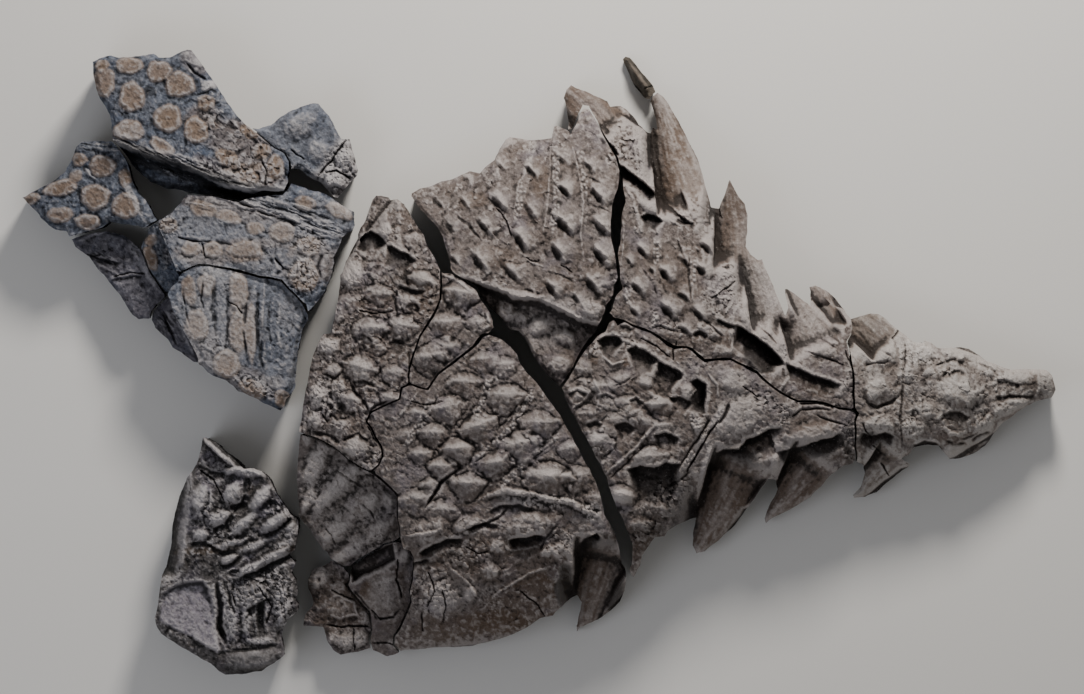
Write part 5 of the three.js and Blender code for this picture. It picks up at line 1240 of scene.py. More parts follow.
# Broken end of the big shoulder spine, lying off its tip. The horn sheath turned to stone gives a
# dark, fibrous and slightly glossier surface than the skin beside it.
horn_sheath = stone(
    "horn sheath turned to stone", "#1c1712", "#3f3932", "#4f473f", "#5e564d", "#7b7067", "#3e362b",
    side="#3f362f", roughness=0.7, grain_mm=3, cool="#5b554d",
)
block(
    "left_shoulder_spine_tip", "spine_stone", horn_sheath, slab((640, 75), 56, 0, -0.1), seed=47,
    ridge=[([(629, 60), (640, 74), (649, 90)], 3, 9), ([(626, 66), (634, 82), (644, 92)], 1.4, -6)],
    crack=[[(645, 87), (650, 84), (654, 82)]],
    skin=(9, 0, 0.8, 2.5, 1), rounding=(24, 26), wear=1.5,
)

# Right shoulder and neck, of the same skin and horn: hollows under broken lips, a pale plate at
# the root of a broad rough spike, a stepped neck and a second spike further forward.
block(
    "right_shoulder_block", "trunk_stone", fossil_skin, body, seed=53, keel=0, lozenges=True,
    plate=[
        (597, 441, 12, 18), (628, 402, 10, 10), (605, 385, 11, 10), (578, 392, 11, 12), (620, 378, 10, 9),
        (660, 404, 11, 14), (590, 412, 10, 9), (645, 384, 10, 9), (622, 492, 12, 20), (648, 455, 14, 16),
        (612, 418, 10, 8), (655, 424, 13, 12),
    ],
    lump=[
        (606, 402, 14, 9, -20, 12), (590, 386, 12, 8, -20, 10), (634, 416, 15, 9, -20, 14),
        (652, 400, 12, 9, 0, 12), (600, 432, 13, 9, -10, 14), (585, 452, 10, 8, 0, 10),
        (580, 365, 12, 8, -30, 10), (646, 378, 12, 8, -20, 10), (735, 380, 16, 14, 0, 12),
        (738, 418, 26, 18, 20, 16), (712, 462, 8, 18, -20, 14), (685, 391, 6, 9, 0, 14),
        (622, 496, 11, 8, 0, 14), (812, 433, 26, 9, 14, 14), (790, 405, 10, 9, 0, 8),
        (640, 348, 10, 5, -30, 8), (640, 525, 12, 9, 0, 12), (668, 512, 12, 8, 0, 10),
        (774, 466, 5, 12, 0, 12), (697, 425, 6, 9, 0, 12),
    ],
    ridge=[
        ([(603, 333), (610, 328), (614, 322)], 2.2, 9), ([(622, 340), (634, 346), (628, 356)], 2.2, 9),
        ([(604, 474), (618, 461), (632, 449), (645, 435), (655, 421)], 2.0, 11),
        ([(608, 478), (622, 465), (636, 452), (649, 439)], 1.2, -8),
        ([(590, 372), (600, 392), (594, 414)], 1.3, 5), ([(566, 384), (580, 376), (592, 378)], 1.3, -6),
        ([(610, 388), (626, 380), (640, 372)], 1.3, -6),
        ([(686, 470), (697, 452), (706, 436), (716, 420)], 1.3, -14),
        ([(678, 468), (690, 448), (700, 432), (710, 416)], 1.3, -12),
        ([(570, 410), (584, 400), (590, 390)], 1.4, 6), ([(798, 410), (815, 409), (832, 410)], 1.3, -10),
        ([(790, 416), (800, 410)], 1.3, -9), ([(812, 415), (830, 420), (845, 424)], 1.3, -9),
        ([(668, 486), (682, 478), (690, 470)], 1.6, -10), ([(706, 372), (716, 384), (718, 398)], 1.6, 6),
        ([(728, 400), (724, 412), (716, 424)], 2.2, -12), ([(600, 355), (612, 364), (626, 360)], 1.4, 6),
    ],
    step=[
        ([(594, 341), (604, 336), (616, 336), (624, 343)], 34, 24, 0.75),
        ([(624, 350), (635, 346), (648, 352), (660, 361)], 32, 26, 0.7),
        ([(656, 360), (669, 364), (684, 374)], 40, 34, 0.65),
        ([(687, 381), (696, 378), (706, 383), (706, 398), (703, 416)], 46, 19, 0.9),
        ([(667, 398), (678, 396), (692, 402)], 20, 14, 0.6),
        ([(651, 434), (664, 431), (680, 437)], 26, 15, 0.8),
        ([(624, 468), (640, 464), (653, 466), (665, 461), (682, 463)], 48, 40, 0.75),
        ([(585, 422), (594, 419), (603, 423)], 14, 15, 0.5),
        ([(612, 424), (624, 420), (635, 427)], 18, 18, 0.55),
        ([(626, 400), (635, 397), (644, 403)], 12, 13, 0.45),
        ([(596, 395), (605, 392), (614, 397)], 10, 11, 0.4),
        ([(571, 342), (578, 338), (586, 342)], 12, 14, 0.45),
        ([(617, 326), (625, 325), (633, 330)], 10, 8, 0.5),
        ([
            (700, 500), (707, 482), (713, 468), (715, 453), (722, 448), (738, 448), (745, 438),
            (757, 435), (768, 428), (782, 427),
        ], 62, 26, 0.75),
        ([(774, 451), (788, 449), (801, 446), (815, 441), (830, 436), (843, 430)], 46, 16, 0.95),
        ([(566, 392), (576, 388), (588, 392)], 16, 7, 0.5),
    ],
    beads=[
        [(722, 404), (713, 420), (704, 434), (694, 450), (684, 466)],
        [(700, 408), (690, 418), (697, 430)], [(772, 456), (775, 468), (772, 482)],
        [(855, 420), (858, 440), (854, 458)],
    ],
    rubble=[
        (700, 425, 9, 12, 0, 10, 6, 0.6), (590, 345, 12, 14, 30, 13, 6, 0.3),
        (668, 492, 26, 16, 10, 16, 7, 0.1), (765, 402, 14, 8, -20, 11, 6, 0.5),
        (782, 414, 8, 12, 0, 11, 6, 0.4), (600, 455, 12, 12, 0, 12, 5, 0.4),
        (850, 440, 10, 22, 0, 14, 7, 0.2), (650, 530, 24, 12, 20, 14, 6, 0.2),
        (700, 362, 22, 8, 10, 12, 4, 0.3), (625, 340, 14, 6, -25, 10, 4, 0.4),
    ],
    patch=[
        (735, 415, 30, 22, 20, "pale", 0.5), (735, 385, 16, 14, 0, "pale", 0.35),
        (708, 455, 7, 22, -20, "pale", 0.4), (650, 482, 30, 18, 0, "dark", 0.4),
        (665, 520, 34, 18, 10, "dark", 0.25), (612, 350, 13, 11, 0, "dark", 0.3),
        (642, 365, 13, 12, 0, "dark", 0.25), (594, 358, 4, 9, 0, "brown", 0.7),
        (626, 362, 5, 6, 0, "brown", 0.7), (664, 380, 9, 18, 0, "dark", 0.25),
        (697, 400, 8, 18, 0, "dark", 0.4), (812, 428, 22, 7, 14, "brown", 0.5),
        (750, 444, 28, 8, 15, "brown", 0.6), (810, 452, 34, 9, 12, "dark", 0.7),
        (618, 405, 9, 9, 0, "pale", 0.35), (622, 494, 11, 7, 0, "pale", 0.6),
        (664, 428, 12, 6, 0, "pale", 0.35), (680, 500, 16, 40, 0, "dark", 0.4),
        (645, 545, 34, 24, -40, "brown", 0.6), (650, 540, 30, 22, -40, "dark", 0.3),
        (850, 440, 10, 24, 0, "dark", 0.5), (740, 458, 24, 12, -20, "dark", 0.45),
        (590, 435, 8, 6, 0, "pale", 0.4), (720, 375, 12, 12, 0, "pale", 0.3),
        (650, 400, 40, 30, 0, "brown", 0.25),
    ],
    crack=[
        [(741, 386), (748, 391), (757, 397)], [(798, 403), (815, 404), (832, 406)],
        [(686, 472), (700, 446), (716, 420)], [(640, 338), (655, 346), (668, 356)],
        [(672, 348), (672, 360)],
    ],
    spine=[
        ((818, 462), (767, 523), (26, 5), (165, 75), 55, 0.75, 0.1),
        ((742, 462), (700, 550), (27, 11), (185, 85), 64, 0.85, 0.1),
    ],
)

# Head: cobbled skin over the skull, a smooth beak end, eye socket and cheek on the right side,
# and half rings of neck armour with the first pair of spikes behind it. The skin turned to stone
# over bone is a little lighter and warmer to the eye than the trunk's.
skull_skin = stone(
    "fossil skin over skull bone", "#211916", "#665c57", "#867b75", "#a49a95", "#cbc5c1", "#75655a",
    horn="#80746a", side="#4c443e", cool="#7d7778",
)
block(
    "head_block", "skull_stone", skull_skin, body, seed=61,
    lump=[
        (876, 388, 15, 13, 0, 16), (872, 394, 7, 6, 0, 7), (880, 424, 17, 9, 0, 16),
        (880, 352, 20, 12, -12, 14), (925, 352, 13, 8, 0, 10), (960, 391, 24, 16, 0, 20),
        (960, 354, 18, 7, -6, 14), (956, 451, 11, 8, 0, 18), (984, 441, 9, 6, 30, 12),
        (912, 430, 14, 12, 0, 14), (1047, 384, 9, 13, 0, 12), (985, 426, 14, 8, 25, 14),
        (905, 372, 12, 9, 0, 8), (985, 368, 14, 7, -20, 10), (1015, 378, 20, 7, 0, 8),
        (1010, 408, 22, 7, 22, 12), (935, 372, 10, 6, 0, 8), (922, 410, 12, 8, 0, 8),
    ],
    ridge=[
        ([(944, 427), (949, 433), (958, 435), (967, 431)], 2.6, 5),
        ([(905, 340), (903, 375), (900, 420), (902, 450)], 1.6, -7),
        ([(864, 402), (876, 407), (890, 403), (899, 396)], 2.2, -14),
        ([(862, 366), (875, 362), (890, 362)], 1.8, -8), ([(934, 366), (946, 362), (958, 358)], 1.5, -9),
        ([(940, 378), (950, 370), (956, 372)], 1.6, -8), ([(975, 362), (990, 368), (1000, 378)], 1.4, -7),
        ([(862, 412), (872, 418), (884, 414)], 1.4, 5), ([(960, 440), (972, 436), (984, 430)], 1.5, -9),
        ([(945, 440), (955, 445), (966, 443)], 1.8, -10),
        ([(1040, 370), (1041, 386), (1038, 398)], 1.6, 5),
        ([(870, 386), (866, 394), (872, 400), (879, 395)], 1.2, 4),
        ([(862, 332), (880, 338), (896, 346)], 1.6, 6), ([(862, 345), (880, 352), (892, 358)], 1.3, -6),
    ],
    step=[
        ([(938, 416), (948, 411), (962, 412), (972, 418)], 12, 20, 0.45),
        ([(992, 397), (1010, 395), (1028, 396), (1038, 394)], 13, 7, 0.6),
        ([(860, 432), (872, 436), (884, 432), (896, 436)], 30, 14, 0.8),
        ([(912, 444), (925, 440), (940, 443)], 24, 8, 0.8),
        ([(946, 376), (955, 370), (966, 372)], 10, 5, 0.5),
        ([(996, 378), (1010, 380), (1024, 384)], 14, 7, 0.4),
        ([(970, 440), (980, 433), (992, 430)], 14, 6, 0.5),
    ],
    pit=[(914, 413, 4, 4, 0, 7)],
    rubble=[
        (955, 385, 60, 44, 0, 27, 5, 0.1), (915, 352, 22, 14, -10, 10, 3.5, 0.75),
        (905, 395, 14, 40, 0, 10, 2.4, 0.25), (985, 395, 26, 28, 0, 14, 2.5, 0.2),
        (912, 428, 16, 16, 0, 10, 3, 0.35), (950, 365, 30, 12, 0, 14, 2.5, 0.25),
        (980, 425, 22, 14, 20, 11, 3, 0.3), (960, 450, 18, 9, 0, 12, 3, 0.2),
        (880, 445, 16, 10, 0, 12, 3, 0.15), (935, 400, 18, 20, 0, 10, 2, 0.25),
        (1015, 385, 26, 14, 0, 14, 2.5, 0.1),
    ],
    patch=[
        (915, 350, 20, 13, -10, "pale", 0.55), (955, 386, 20, 10, 0, "pale", 0.45),
        (872, 375, 12, 12, 0, "pale", 0.4), (870, 345, 16, 14, 0, "brown", 0.35),
        (953, 418, 15, 8, 0, "dark", 0.35), (880, 440, 20, 8, 0, "dark", 0.45),
        (985, 420, 14, 10, 20, "brown", 0.5), (960, 440, 30, 9, 0, "brown", 0.35),
        (1020, 386, 22, 4, 0, "dark", 0.3), (925, 448, 18, 6, 0, "dark", 0.6),
        (910, 435, 10, 10, 0, "brown", 0.5), (1046, 380, 7, 8, 0, "pale", 0.15),
        (1040, 386, 16, 14, 0, "dark", 0.42), (890, 368, 12, 10, 0, "dark", 0.2),
        (865, 440, 9, 14, 0, "dark", 0.4),
    ],
    crack=[
        [(891, 340), (900, 330)], [(861, 424), (866, 432), (872, 438)], [(882, 462), (891, 476)],
        [(873, 446), (882, 454)],
    ],
    spine=[
        ((888, 345), (859, 314), (19, 18), (205, 115), 40, 0.35, 0.2),
        ((893, 455), (858, 497), (15, 6), (150, 75), 55, 0.6),
    ],
    skin=(13, 2.6, 1.3, 6, 5),
)


# Left hip block: rough armour discs grown into rock that broke in layers along its side, which is
# painted dark as shade. The hip's rock gives a cool blue-grey, matt and speckled, against the warm
# tan of the discs.
hip_rock = stone(
    "blue-grey hip rock with tan armour discs", "#0b0b10", "#414552", "#5f6573", "#858b98", "#bdb9ba",
    "#5d4e3e", disc="#8a776a", side="#3b3a42", stain=0.12, grain_mm=5, cool="#4d586c",
)

block(
    "left_hip_block", "hip_stone", hip_rock, slab((185, 112), 258, -0.05, -0.04), seed=71,
    shelf=[([
        (108, 138), (120, 143), (150, 155), (175, 160), (200, 171), (225, 183), (250, 189), (290, 190),
        (292, 215), (190, 212), (130, 190), (104, 150),
    ], 128, 10)],
    lump=[(197, 62, 14, 12, -40, 8), (208, 86, 9, 6, 10, 10)],
    ridge=[
        ([(186, 62), (196, 74), (208, 82)], 1.6, -10), ([(196, 96), (212, 90), (222, 96)], 1.5, -8),
        ([(208, 112), (222, 124), (238, 130)], 2.4, -6), ([(216, 150), (232, 154), (250, 150)], 2.6, -6),
        ([(214, 164), (236, 172), (254, 170)], 2.6, -6), ([(240, 130), (254, 141), (264, 152)], 2.2, -5),
    ],
    rubble=[
        (240, 145, 46, 26, -28, 24, 6, 0.3), (255, 172, 34, 16, -8, 18, 6, 0.35),
        (212, 108, 14, 12, 0, 16, 5, 0.3), (205, 168, 22, 8, -22, 12, 7, 0.15),
    ],
    laminae=[
        (130, 150, 26, 10, -28, 12, 7), (195, 172, 50, 11, -22, 14, 7), (165, 164, 34, 9, -24, 13, 6),
        (235, 188, 34, 7, -12, 11, 7),
    ],
    disc=[
        (105, 83, 12, 15, 0, 9), (131, 66, 13, 9, 0, 8), (160, 72, 13, 11, 0, 10),
        (133, 98, 13, 15, 0, 10), (181, 86, 15, 13, 0, 11), (169, 119, 15, 14, 0, 12),
        (130, 131, 15, 11, 0, 10), (163, 147, 14, 7, -35, 8), (197, 131, 12, 14, 15, 10),
        (276, 168, 9, 12, 0, 9), (207, 103, 9, 8, 0, 5), (104, 66, 8, 5, 0, 4), (228, 158, 12, 8, -20, 5),
        (248, 178, 12, 8, 0, 6), (250, 132, 10, 7, -30, 4), (262, 152, 9, 7, 0, 4),
    ],
    patch=[
        (240, 145, 42, 22, -30, "disc", 0.5), (255, 175, 34, 12, -10, "disc", 0.6),
        (195, 62, 18, 14, -45, "disc", 0.3), (210, 86, 8, 5, 10, "pale", 0.9),
        (151, 92, 7, 6, 0, "dark", 0.8), (143, 112, 7, 14, 0, "dark", 0.2),
        (205, 118, 20, 16, 0, "disc", 0.4), (222, 168, 30, 10, -14, "disc", 0.35),
        (178, 70, 9, 5, 0, "dark", 0.2), (165, 187, 34, 8, -16, "dark", 0.8),
        (122, 168, 14, 10, -50, "dark", 0.8), (148, 154, 42, 5, -20, "dark", 0.7),
        (205, 174, 40, 5, -16, "dark", 0.65), (256, 186, 24, 3, -6, "dark", 0.5),
        (190, 178, 50, 4, -16, "pale", 0.15), (160, 170, 30, 4, -24, "pale", 0.15),
        (225, 196, 34, 3, -6, "pale", 0.15), (130, 132, 12, 8, 0, "pale", 0.4),
        (133, 98, 10, 11, 0, "brown", 0.35), (169, 119, 11, 10, 0, "brown", 0.35),
        (240, 180, 26, 8, -10, "pale", 0.3), (205, 70, 16, 16, 0, "brown", 0.12),
        (215, 192, 50, 5, -8, "dark", 0.8), (250, 150, 10, 6, 0, "dark", 0.25),
        (222, 132, 8, 12, 0, "dark", 0.3),
    ],
    crack=[[(262, 162), (268, 174), (266, 186)]],
    skin=(15, 2.2, 1.6, 5, 5), rounding=(18, 14), wear=5, strata=3,
)

# Edge block at the outer corner of the left hip, of the same rock: smooth and blue where it
# broke off, white and knobbly at its front.
def blue_and_white(sheet):
    """Whitens and roughens the block past a slanting line, and keeps the rest smooth."""
    px, py = pixels(sheet.u, sheet.v)
    slant, starts, fades = px * 0.8 + py * 0.6, 350, 12
    front = ease((slant - starts) / fades)
    sheet.tint["pale"] += 0.6 * front + 0.12
    sheet.tint["disc"] += 0.35 * front
    sheet.smooth = np.maximum(sheet.smooth, 0.5 * (1 - front))
    sheet.z += 6 * front * rough(sheet.u, sheet.v, 20, 5, 3)


block(
    "left_hip_edge_block", "hip_stone", hip_rock, slab((310, 150), 200, -0.2, 0.1), seed=73,
    lump=[
        (333, 180, 11, 11, 0, 20), (300, 125, 18, 12, 30, 14), (318, 150, 12, 12, 0, 12),
        (344, 160, 9, 10, 0, 14),
    ],
    ridge=[
        ([(345, 140), (335, 155), (318, 175)], 1.5, -10), ([(325, 172), (336, 170), (350, 178)], 1.5, -9),
    ],
    rubble=[(340, 165, 18, 22, 0, 12, 8, 0.5), (300, 170, 16, 6, -10, 11, 6, 0.2)],
    crack=[
        [(345, 140), (335, 155), (318, 175)], [(325, 172), (336, 170), (350, 178)],
        [(290, 150), (305, 160)],
    ],
    skin=(15, 2.6, 1.5, 6, 4), rounding=(20, 16), wear=5, strata=2, more=blue_and_white,
)

# Rearmost hip block, of the same rock: rounded over towards its outer end, with armour discs
# stained brown and a dark layered side.
block(
    "rear_hip_block", "hip_stone", hip_rock, slab((95, 190), 210, 0.08, 0.1), seed=79,
    ridge=[([(86, 168), (92, 176), (98, 180)], 1.5, 5), ([(108, 215), (110, 226), (108, 234)], 1.3, -8)],
    disc=[
        (103, 166, 14, 11, 0, 9), (95, 197, 15, 13, 0, 11), (126, 206, 14, 13, 0, 10),
        (60, 188, 18, 8, 15, 9), (60, 215, 13, 8, 0, 7), (87, 222, 13, 8, 0, 8), (80, 160, 8, 7, 0, 5),
        (30, 199, 9, 6, 15, 7), (126, 178, 7, 9, 0, 4), (76, 176, 7, 6, 0, 3),
    ],
    patch=[
        (76, 173, 7, 6, 0, "pale", 0.25), (88, 172, 6, 2.5, -40, "pale", 0.6),
        (95, 197, 11, 10, 0, "brown", 0.45), (62, 187, 16, 7, 15, "brown", 0.45),
        (103, 167, 11, 8, 0, "brown", 0.3), (90, 148, 26, 7, 0, "dark", 0.3),
        (135, 200, 3, 28, 27, "pale", 0.7), (126, 206, 9, 8, 0, "brown", 0.25),
        (120, 225, 22, 4, -12, "dark", 0.4),
    ],
    laminae=[(98, 148, 30, 6, -4, 7, 7)],
    skin=(15, 2.2, 1.6, 5, 5), rounding=(22, 20), wear=5, strata=3,
)

# Small long chunk of the same rock that fills the gap between the hip blocks, with one long disc
# along it.
block(
    "hip_chunk", "hip_stone", hip_rock, slab((160, 255), 155, 0, 0.25), seed=83,
    disc=[(149, 258, 7, 13, 18, 7), (150, 240, 7, 6, 0, 4)],
    rubble=[(164, 258, 9, 14, 20, 13, 7, 0.15)],
    patch=[
        (150, 258, 7, 13, 18, "disc", 0.5), (156, 238, 7, 5, 0, "pale", 0.2),
        (167, 256, 7, 9, 0, "brown", 0.3),
    ],
    skin=(12, 2.8, 1.6, 5, 3), rounding=(16, 14), wear=4, strata=2,
)

# Middle hip block, of the same rock: thin dark layers show where its upper half broke across,
# with tan discs in blue rock below.
block(
    "mid_hip_block", "hip_stone", hip_rock, slab((255, 240), 245, -0.04, 0.02), seed=89,
    ridge=[
        ([(180, 238), (200, 242), (226, 243), (240, 248)], 1.6, -5),
        ([(262, 240), (268, 256), (276, 266)], 2.4, -8), ([(276, 256), (282, 268), (292, 274)], 2.4, -8),
        ([(322, 252), (318, 268), (322, 284)], 2.0, -6),
    ],
    laminae=[
        (275, 208, 66, 13, -17, 11, 8), (318, 226, 36, 10, -20, 10, 8), (240, 198, 40, 6, -8, 8, 7),
        (210, 204, 24, 8, -8, 5, 7),
    ],
    rubble=[
        (304, 278, 16, 20, 0, 13, 8, 0.3), (310, 240, 20, 14, 0, 14, 7, 0.3),
        (170, 228, 12, 14, 0, 12, 6, 0.3),
    ],
    disc=[
        (204, 210, 13, 9, -8, 5), (229, 218, 13, 7, -15, 6), (256, 229, 10, 6, -5, 5),
        (283, 233, 13, 10, 0, 8), (192, 249, 10, 7, 0, 7), (214, 250, 10, 8, 0, 7),
        (246, 250, 18, 8, 0, 7), (309, 246, 12, 10, 0, 8), (306, 204, 11, 7, -10, 6),
        (304, 276, 14, 17, 0, 9), (340, 212, 14, 7, -30, 6), (170, 226, 9, 8, 0, 5),
    ],
    patch=[
        (206, 226, 34, 11, -8, "dark", 0.16), (212, 226, 34, 9, -10, "disc", -0.6),
        (185, 214, 9, 8, 0, "disc", -0.5), (280, 256, 22, 10, -10, "disc", -0.4),
        (275, 205, 50, 7, -17, "dark", 0.25), (256, 229, 9, 5, 0, "brown", 0.7),
        (232, 218, 9, 5, -15, "brown", 0.4), (246, 254, 20, 9, 0, "disc", 0.5),
        (304, 270, 12, 14, 0, "pale", 0.3), (340, 208, 14, 7, -30, "pale", 0.45),
        (200, 258, 26, 5, 6, "pale", 0.2), (304, 252, 10, 8, 0, "pale", 0.3),
        (255, 240, 100, 50, 0, "pale", 0.34), (240, 252, 66, 13, 4, "disc", 0.5),
        (310, 262, 26, 28, 0, "disc", 0.45), (225, 208, 60, 12, -12, "disc", 0.4),
        (210, 228, 30, 9, -8, "disc", -0.9),
    ],
    crack=[[(178, 238), (190, 241), (204, 243)], [(203, 244), (206, 256)], [(275, 258), (284, 268)]],
    skin=(15, 2.2, 1.6, 5, 5), rounding=(18, 14), wear=4.5, strata=3,
)

# Right hip block, of the same rock: rough tan armour in long bands, with blue-grey rock in the
# furrows between them.
block(
    "right_hip_block", "hip_stone", hip_rock, slab((240, 335), 220, -0.1, 0.1), seed=97,
    ridge=[
        ([(215, 282), (213, 305), (217, 335)], 3.2, -7), ([(227, 290), (229, 320), (226, 345)], 2.2, -5),
        ([(247, 300), (244, 325), (246, 358)], 1.8, -6), ([(258, 290), (257, 320), (258, 352)], 2.6, -8),
        ([(262, 340), (260, 358), (264, 372)], 2.4, -9), ([(270, 296), (268, 330), (273, 350)], 1.8, -5),
        ([(264, 280), (263, 310), (262, 332)], 1.6, 4), ([(280, 300), (277, 330), (282, 355)], 2.2, 5),
        ([(204, 280), (202, 300), (206, 312)], 1.3, -7), ([(184, 285), (186, 310), (190, 330)], 1.3, -6),
    ],
    disc=[
        (207, 285, 9, 12, 0, 7), (197, 325, 12, 16, 0, 8), (239, 292, 9, 20, 0, 7),
        (238, 332, 9, 20, 0, 8), (251, 333, 5, 30, 0, 6), (227, 364, 13, 14, 10, 8),
        (253, 389, 14, 8, -28, 7), (282, 399, 8, 9, 0, 6), (190, 290, 7, 15, 8, 4),
    ],
    patch=[
        (191, 292, 7, 18, 5, "brown", 0.3), (228, 362, 12, 14, 10, "brown", 0.45),
        (255, 390, 12, 6, -28, "brown", 0.3), (290, 315, 14, 22, 0, "pale", 0.22),
        (268, 384, 16, 10, 0, "pale", 0.45), (262, 350, 7, 34, 2, "dark", 0.35),
        (216, 300, 3, 26, 0, "dark", 0.3), (275, 330, 4, 30, -3, "dark", 0.2),
        (232, 340, 3, 20, 0, "dark", 0.2), (208, 284, 6, 10, 0, "pale", 0.3),
        (225, 272, 30, 6, -5, "pale", 0.25), (250, 270, 34, 6, -12, "brown", 0.15),
        (223, 305, 7, 24, 0, "disc", -0.5), (268, 320, 9, 34, 0, "disc", -0.5),
        (207, 307, 8, 3, 0, "disc", -0.8), (240, 335, 80, 80, 0, "pale", 0.2),
        (215, 318, 44, 60, 0, "pale", 0.3), (251, 335, 4, 26, 0, "brown", 0.5),
        (240, 312, 12, 44, 0, "disc", 0.5), (205, 350, 14, 22, -20, "disc", 0.25),
        (250, 382, 34, 16, -20, "disc", 0.35),
    ],
    rubble=[(255, 386, 26, 9, -28, 11, 6, 0.25), (215, 345, 20, 8, 0, 12, 5, 0.1)],
    crack=[[(229, 302), (238, 306), (243, 314)]],
    skin=(15, 2.0, 1.6, 5, 5), rounding=(20, 18), wear=5, strata=3,
)

# Two plain slabs behind the belly, of shale that splits into thin layers. It gives a dull, even
# dark grey with paler broken edges.
shale = stone(
    "dark grey shale", "#131216", "#413f46", "#595660", "#78757d", "#a6a3a9", "#443e3a", side="#38363c",
    stain=0.2, grain_mm=6, cool="#555866",
)

block(
    "rear_flank_slab", "shale", shale, slab((115, 272), 122, 0.12, -0.08), seed=101,
    step=[
        ([(84, 252), (100, 258), (120, 262)], 12, 8, 0.3),
        ([(106, 280), (124, 276), (143, 274)], 10, 7, 0.3),
    ],
    ridge=[
        ([(120, 236), (133, 245), (148, 272), (160, 292)], 5, 7),
        ([(74, 242), (90, 234), (105, 230)], 2.2, 6),
    ],
    laminae=[(102, 264, 20, 12, -30, 6, 7)],
    rubble=[(130, 290, 20, 14, -40, 20, 5, 0.1)],
    patch=[
        (142, 262, 6, 30, 32, "pale", 0.45), (100, 240, 24, 10, -10, "pale", 0.25),
        (104, 264, 18, 9, -30, "dark", 0.4), (128, 285, 20, 10, -40, "pale", 0.15),
        (90, 256, 5, 4, 0, "dark", 0.5),
    ],
    crack=[[(112, 277), (128, 273), (143, 272)], [(85, 254), (92, 256), (99, 254)]],
    skin=(18, 3.0, 1.2, 5, 6), wear=4, strata=4,
)
block(
    "lower_flank_slab", "shale", shale, slab((172, 330), 110, 0, 0), seed=103,
    ridge=[([(169, 300), (180, 328), (194, 356)], 3, 6), ([(158, 308), (168, 330), (176, 346)], 1.5, -8)],
    laminae=[(168, 325, 20, 12, -55, 5, 7)],
    patch=[(180, 326, 5, 30, 25, "pale", 0.4), (160, 320, 10, 14, 0, "dark", 0.2)],
    skin=(16, 3.0, 1.2, 5, 4), wear=3, strata=4,
)


# Hind limb block: long bones packed in dark rock under a rising ridge, a flat lilac face cut
# at the lower left, and a smooth rounded mass along the foot. Painted shade makes the rock near
# black in its hollows, and the bones in it stand out pale grey.
limb_rock = stone(
    "dark grey limb rock with bones", "#100e0e", "#3f3b3b", "#5d5858", "#807b7b", "#c0bbbc", "#4c4036",
    disc="#8d8793", side="#3b3737", stain=0.35, grain_mm=4, cool="#77727e",
)


def cut_face(sheet):
    """Planes a flat face into the block and smooths its foot and its outer edge."""
    face = plan([
        (162, 592), (175, 584), (190, 581), (204, 580), (209, 588), (214, 600), (215, 615), (217, 630),
        (221, 645), (224, 650), (218, 655), (204, 647), (190, 639), (170, 629), (157, 621), (159, 606),
    ])
    bevel = 12
    d, *_ = sheet.line(face, 20, closed=True)
    held = sheet.inside(face) * ease(d / bevel)
    plane = slab((190, 612), 195, 0.1, -0.12)
    sheet.z += held * (plane(sheet.x, sheet.y) - sheet.z)
    sheet.tint["pale"] += 0.35 * held * (0.8 + 0.9 * rough(sheet.x, sheet.y, 7, 4, 2))
    sheet.tint["disc"] = np.maximum(sheet.tint["disc"], 0.9 * held)
    sheet.tint["dark"] *= 1 - held
    sheet.smooth = np.maximum(sheet.smooth, 0.6 * held)
    foot, edge = [(225, 662), (255, 660), (280, 650)], [(192, 480), (180, 515), (174, 560)]
    for points, amount in ((foot, 0.8), (edge, 0.7)):
        near, *_ = sheet.line(plan(points), 60)
        sheet.smooth = np.maximum(sheet.smooth, amount * ease(1.5 - near / 36))


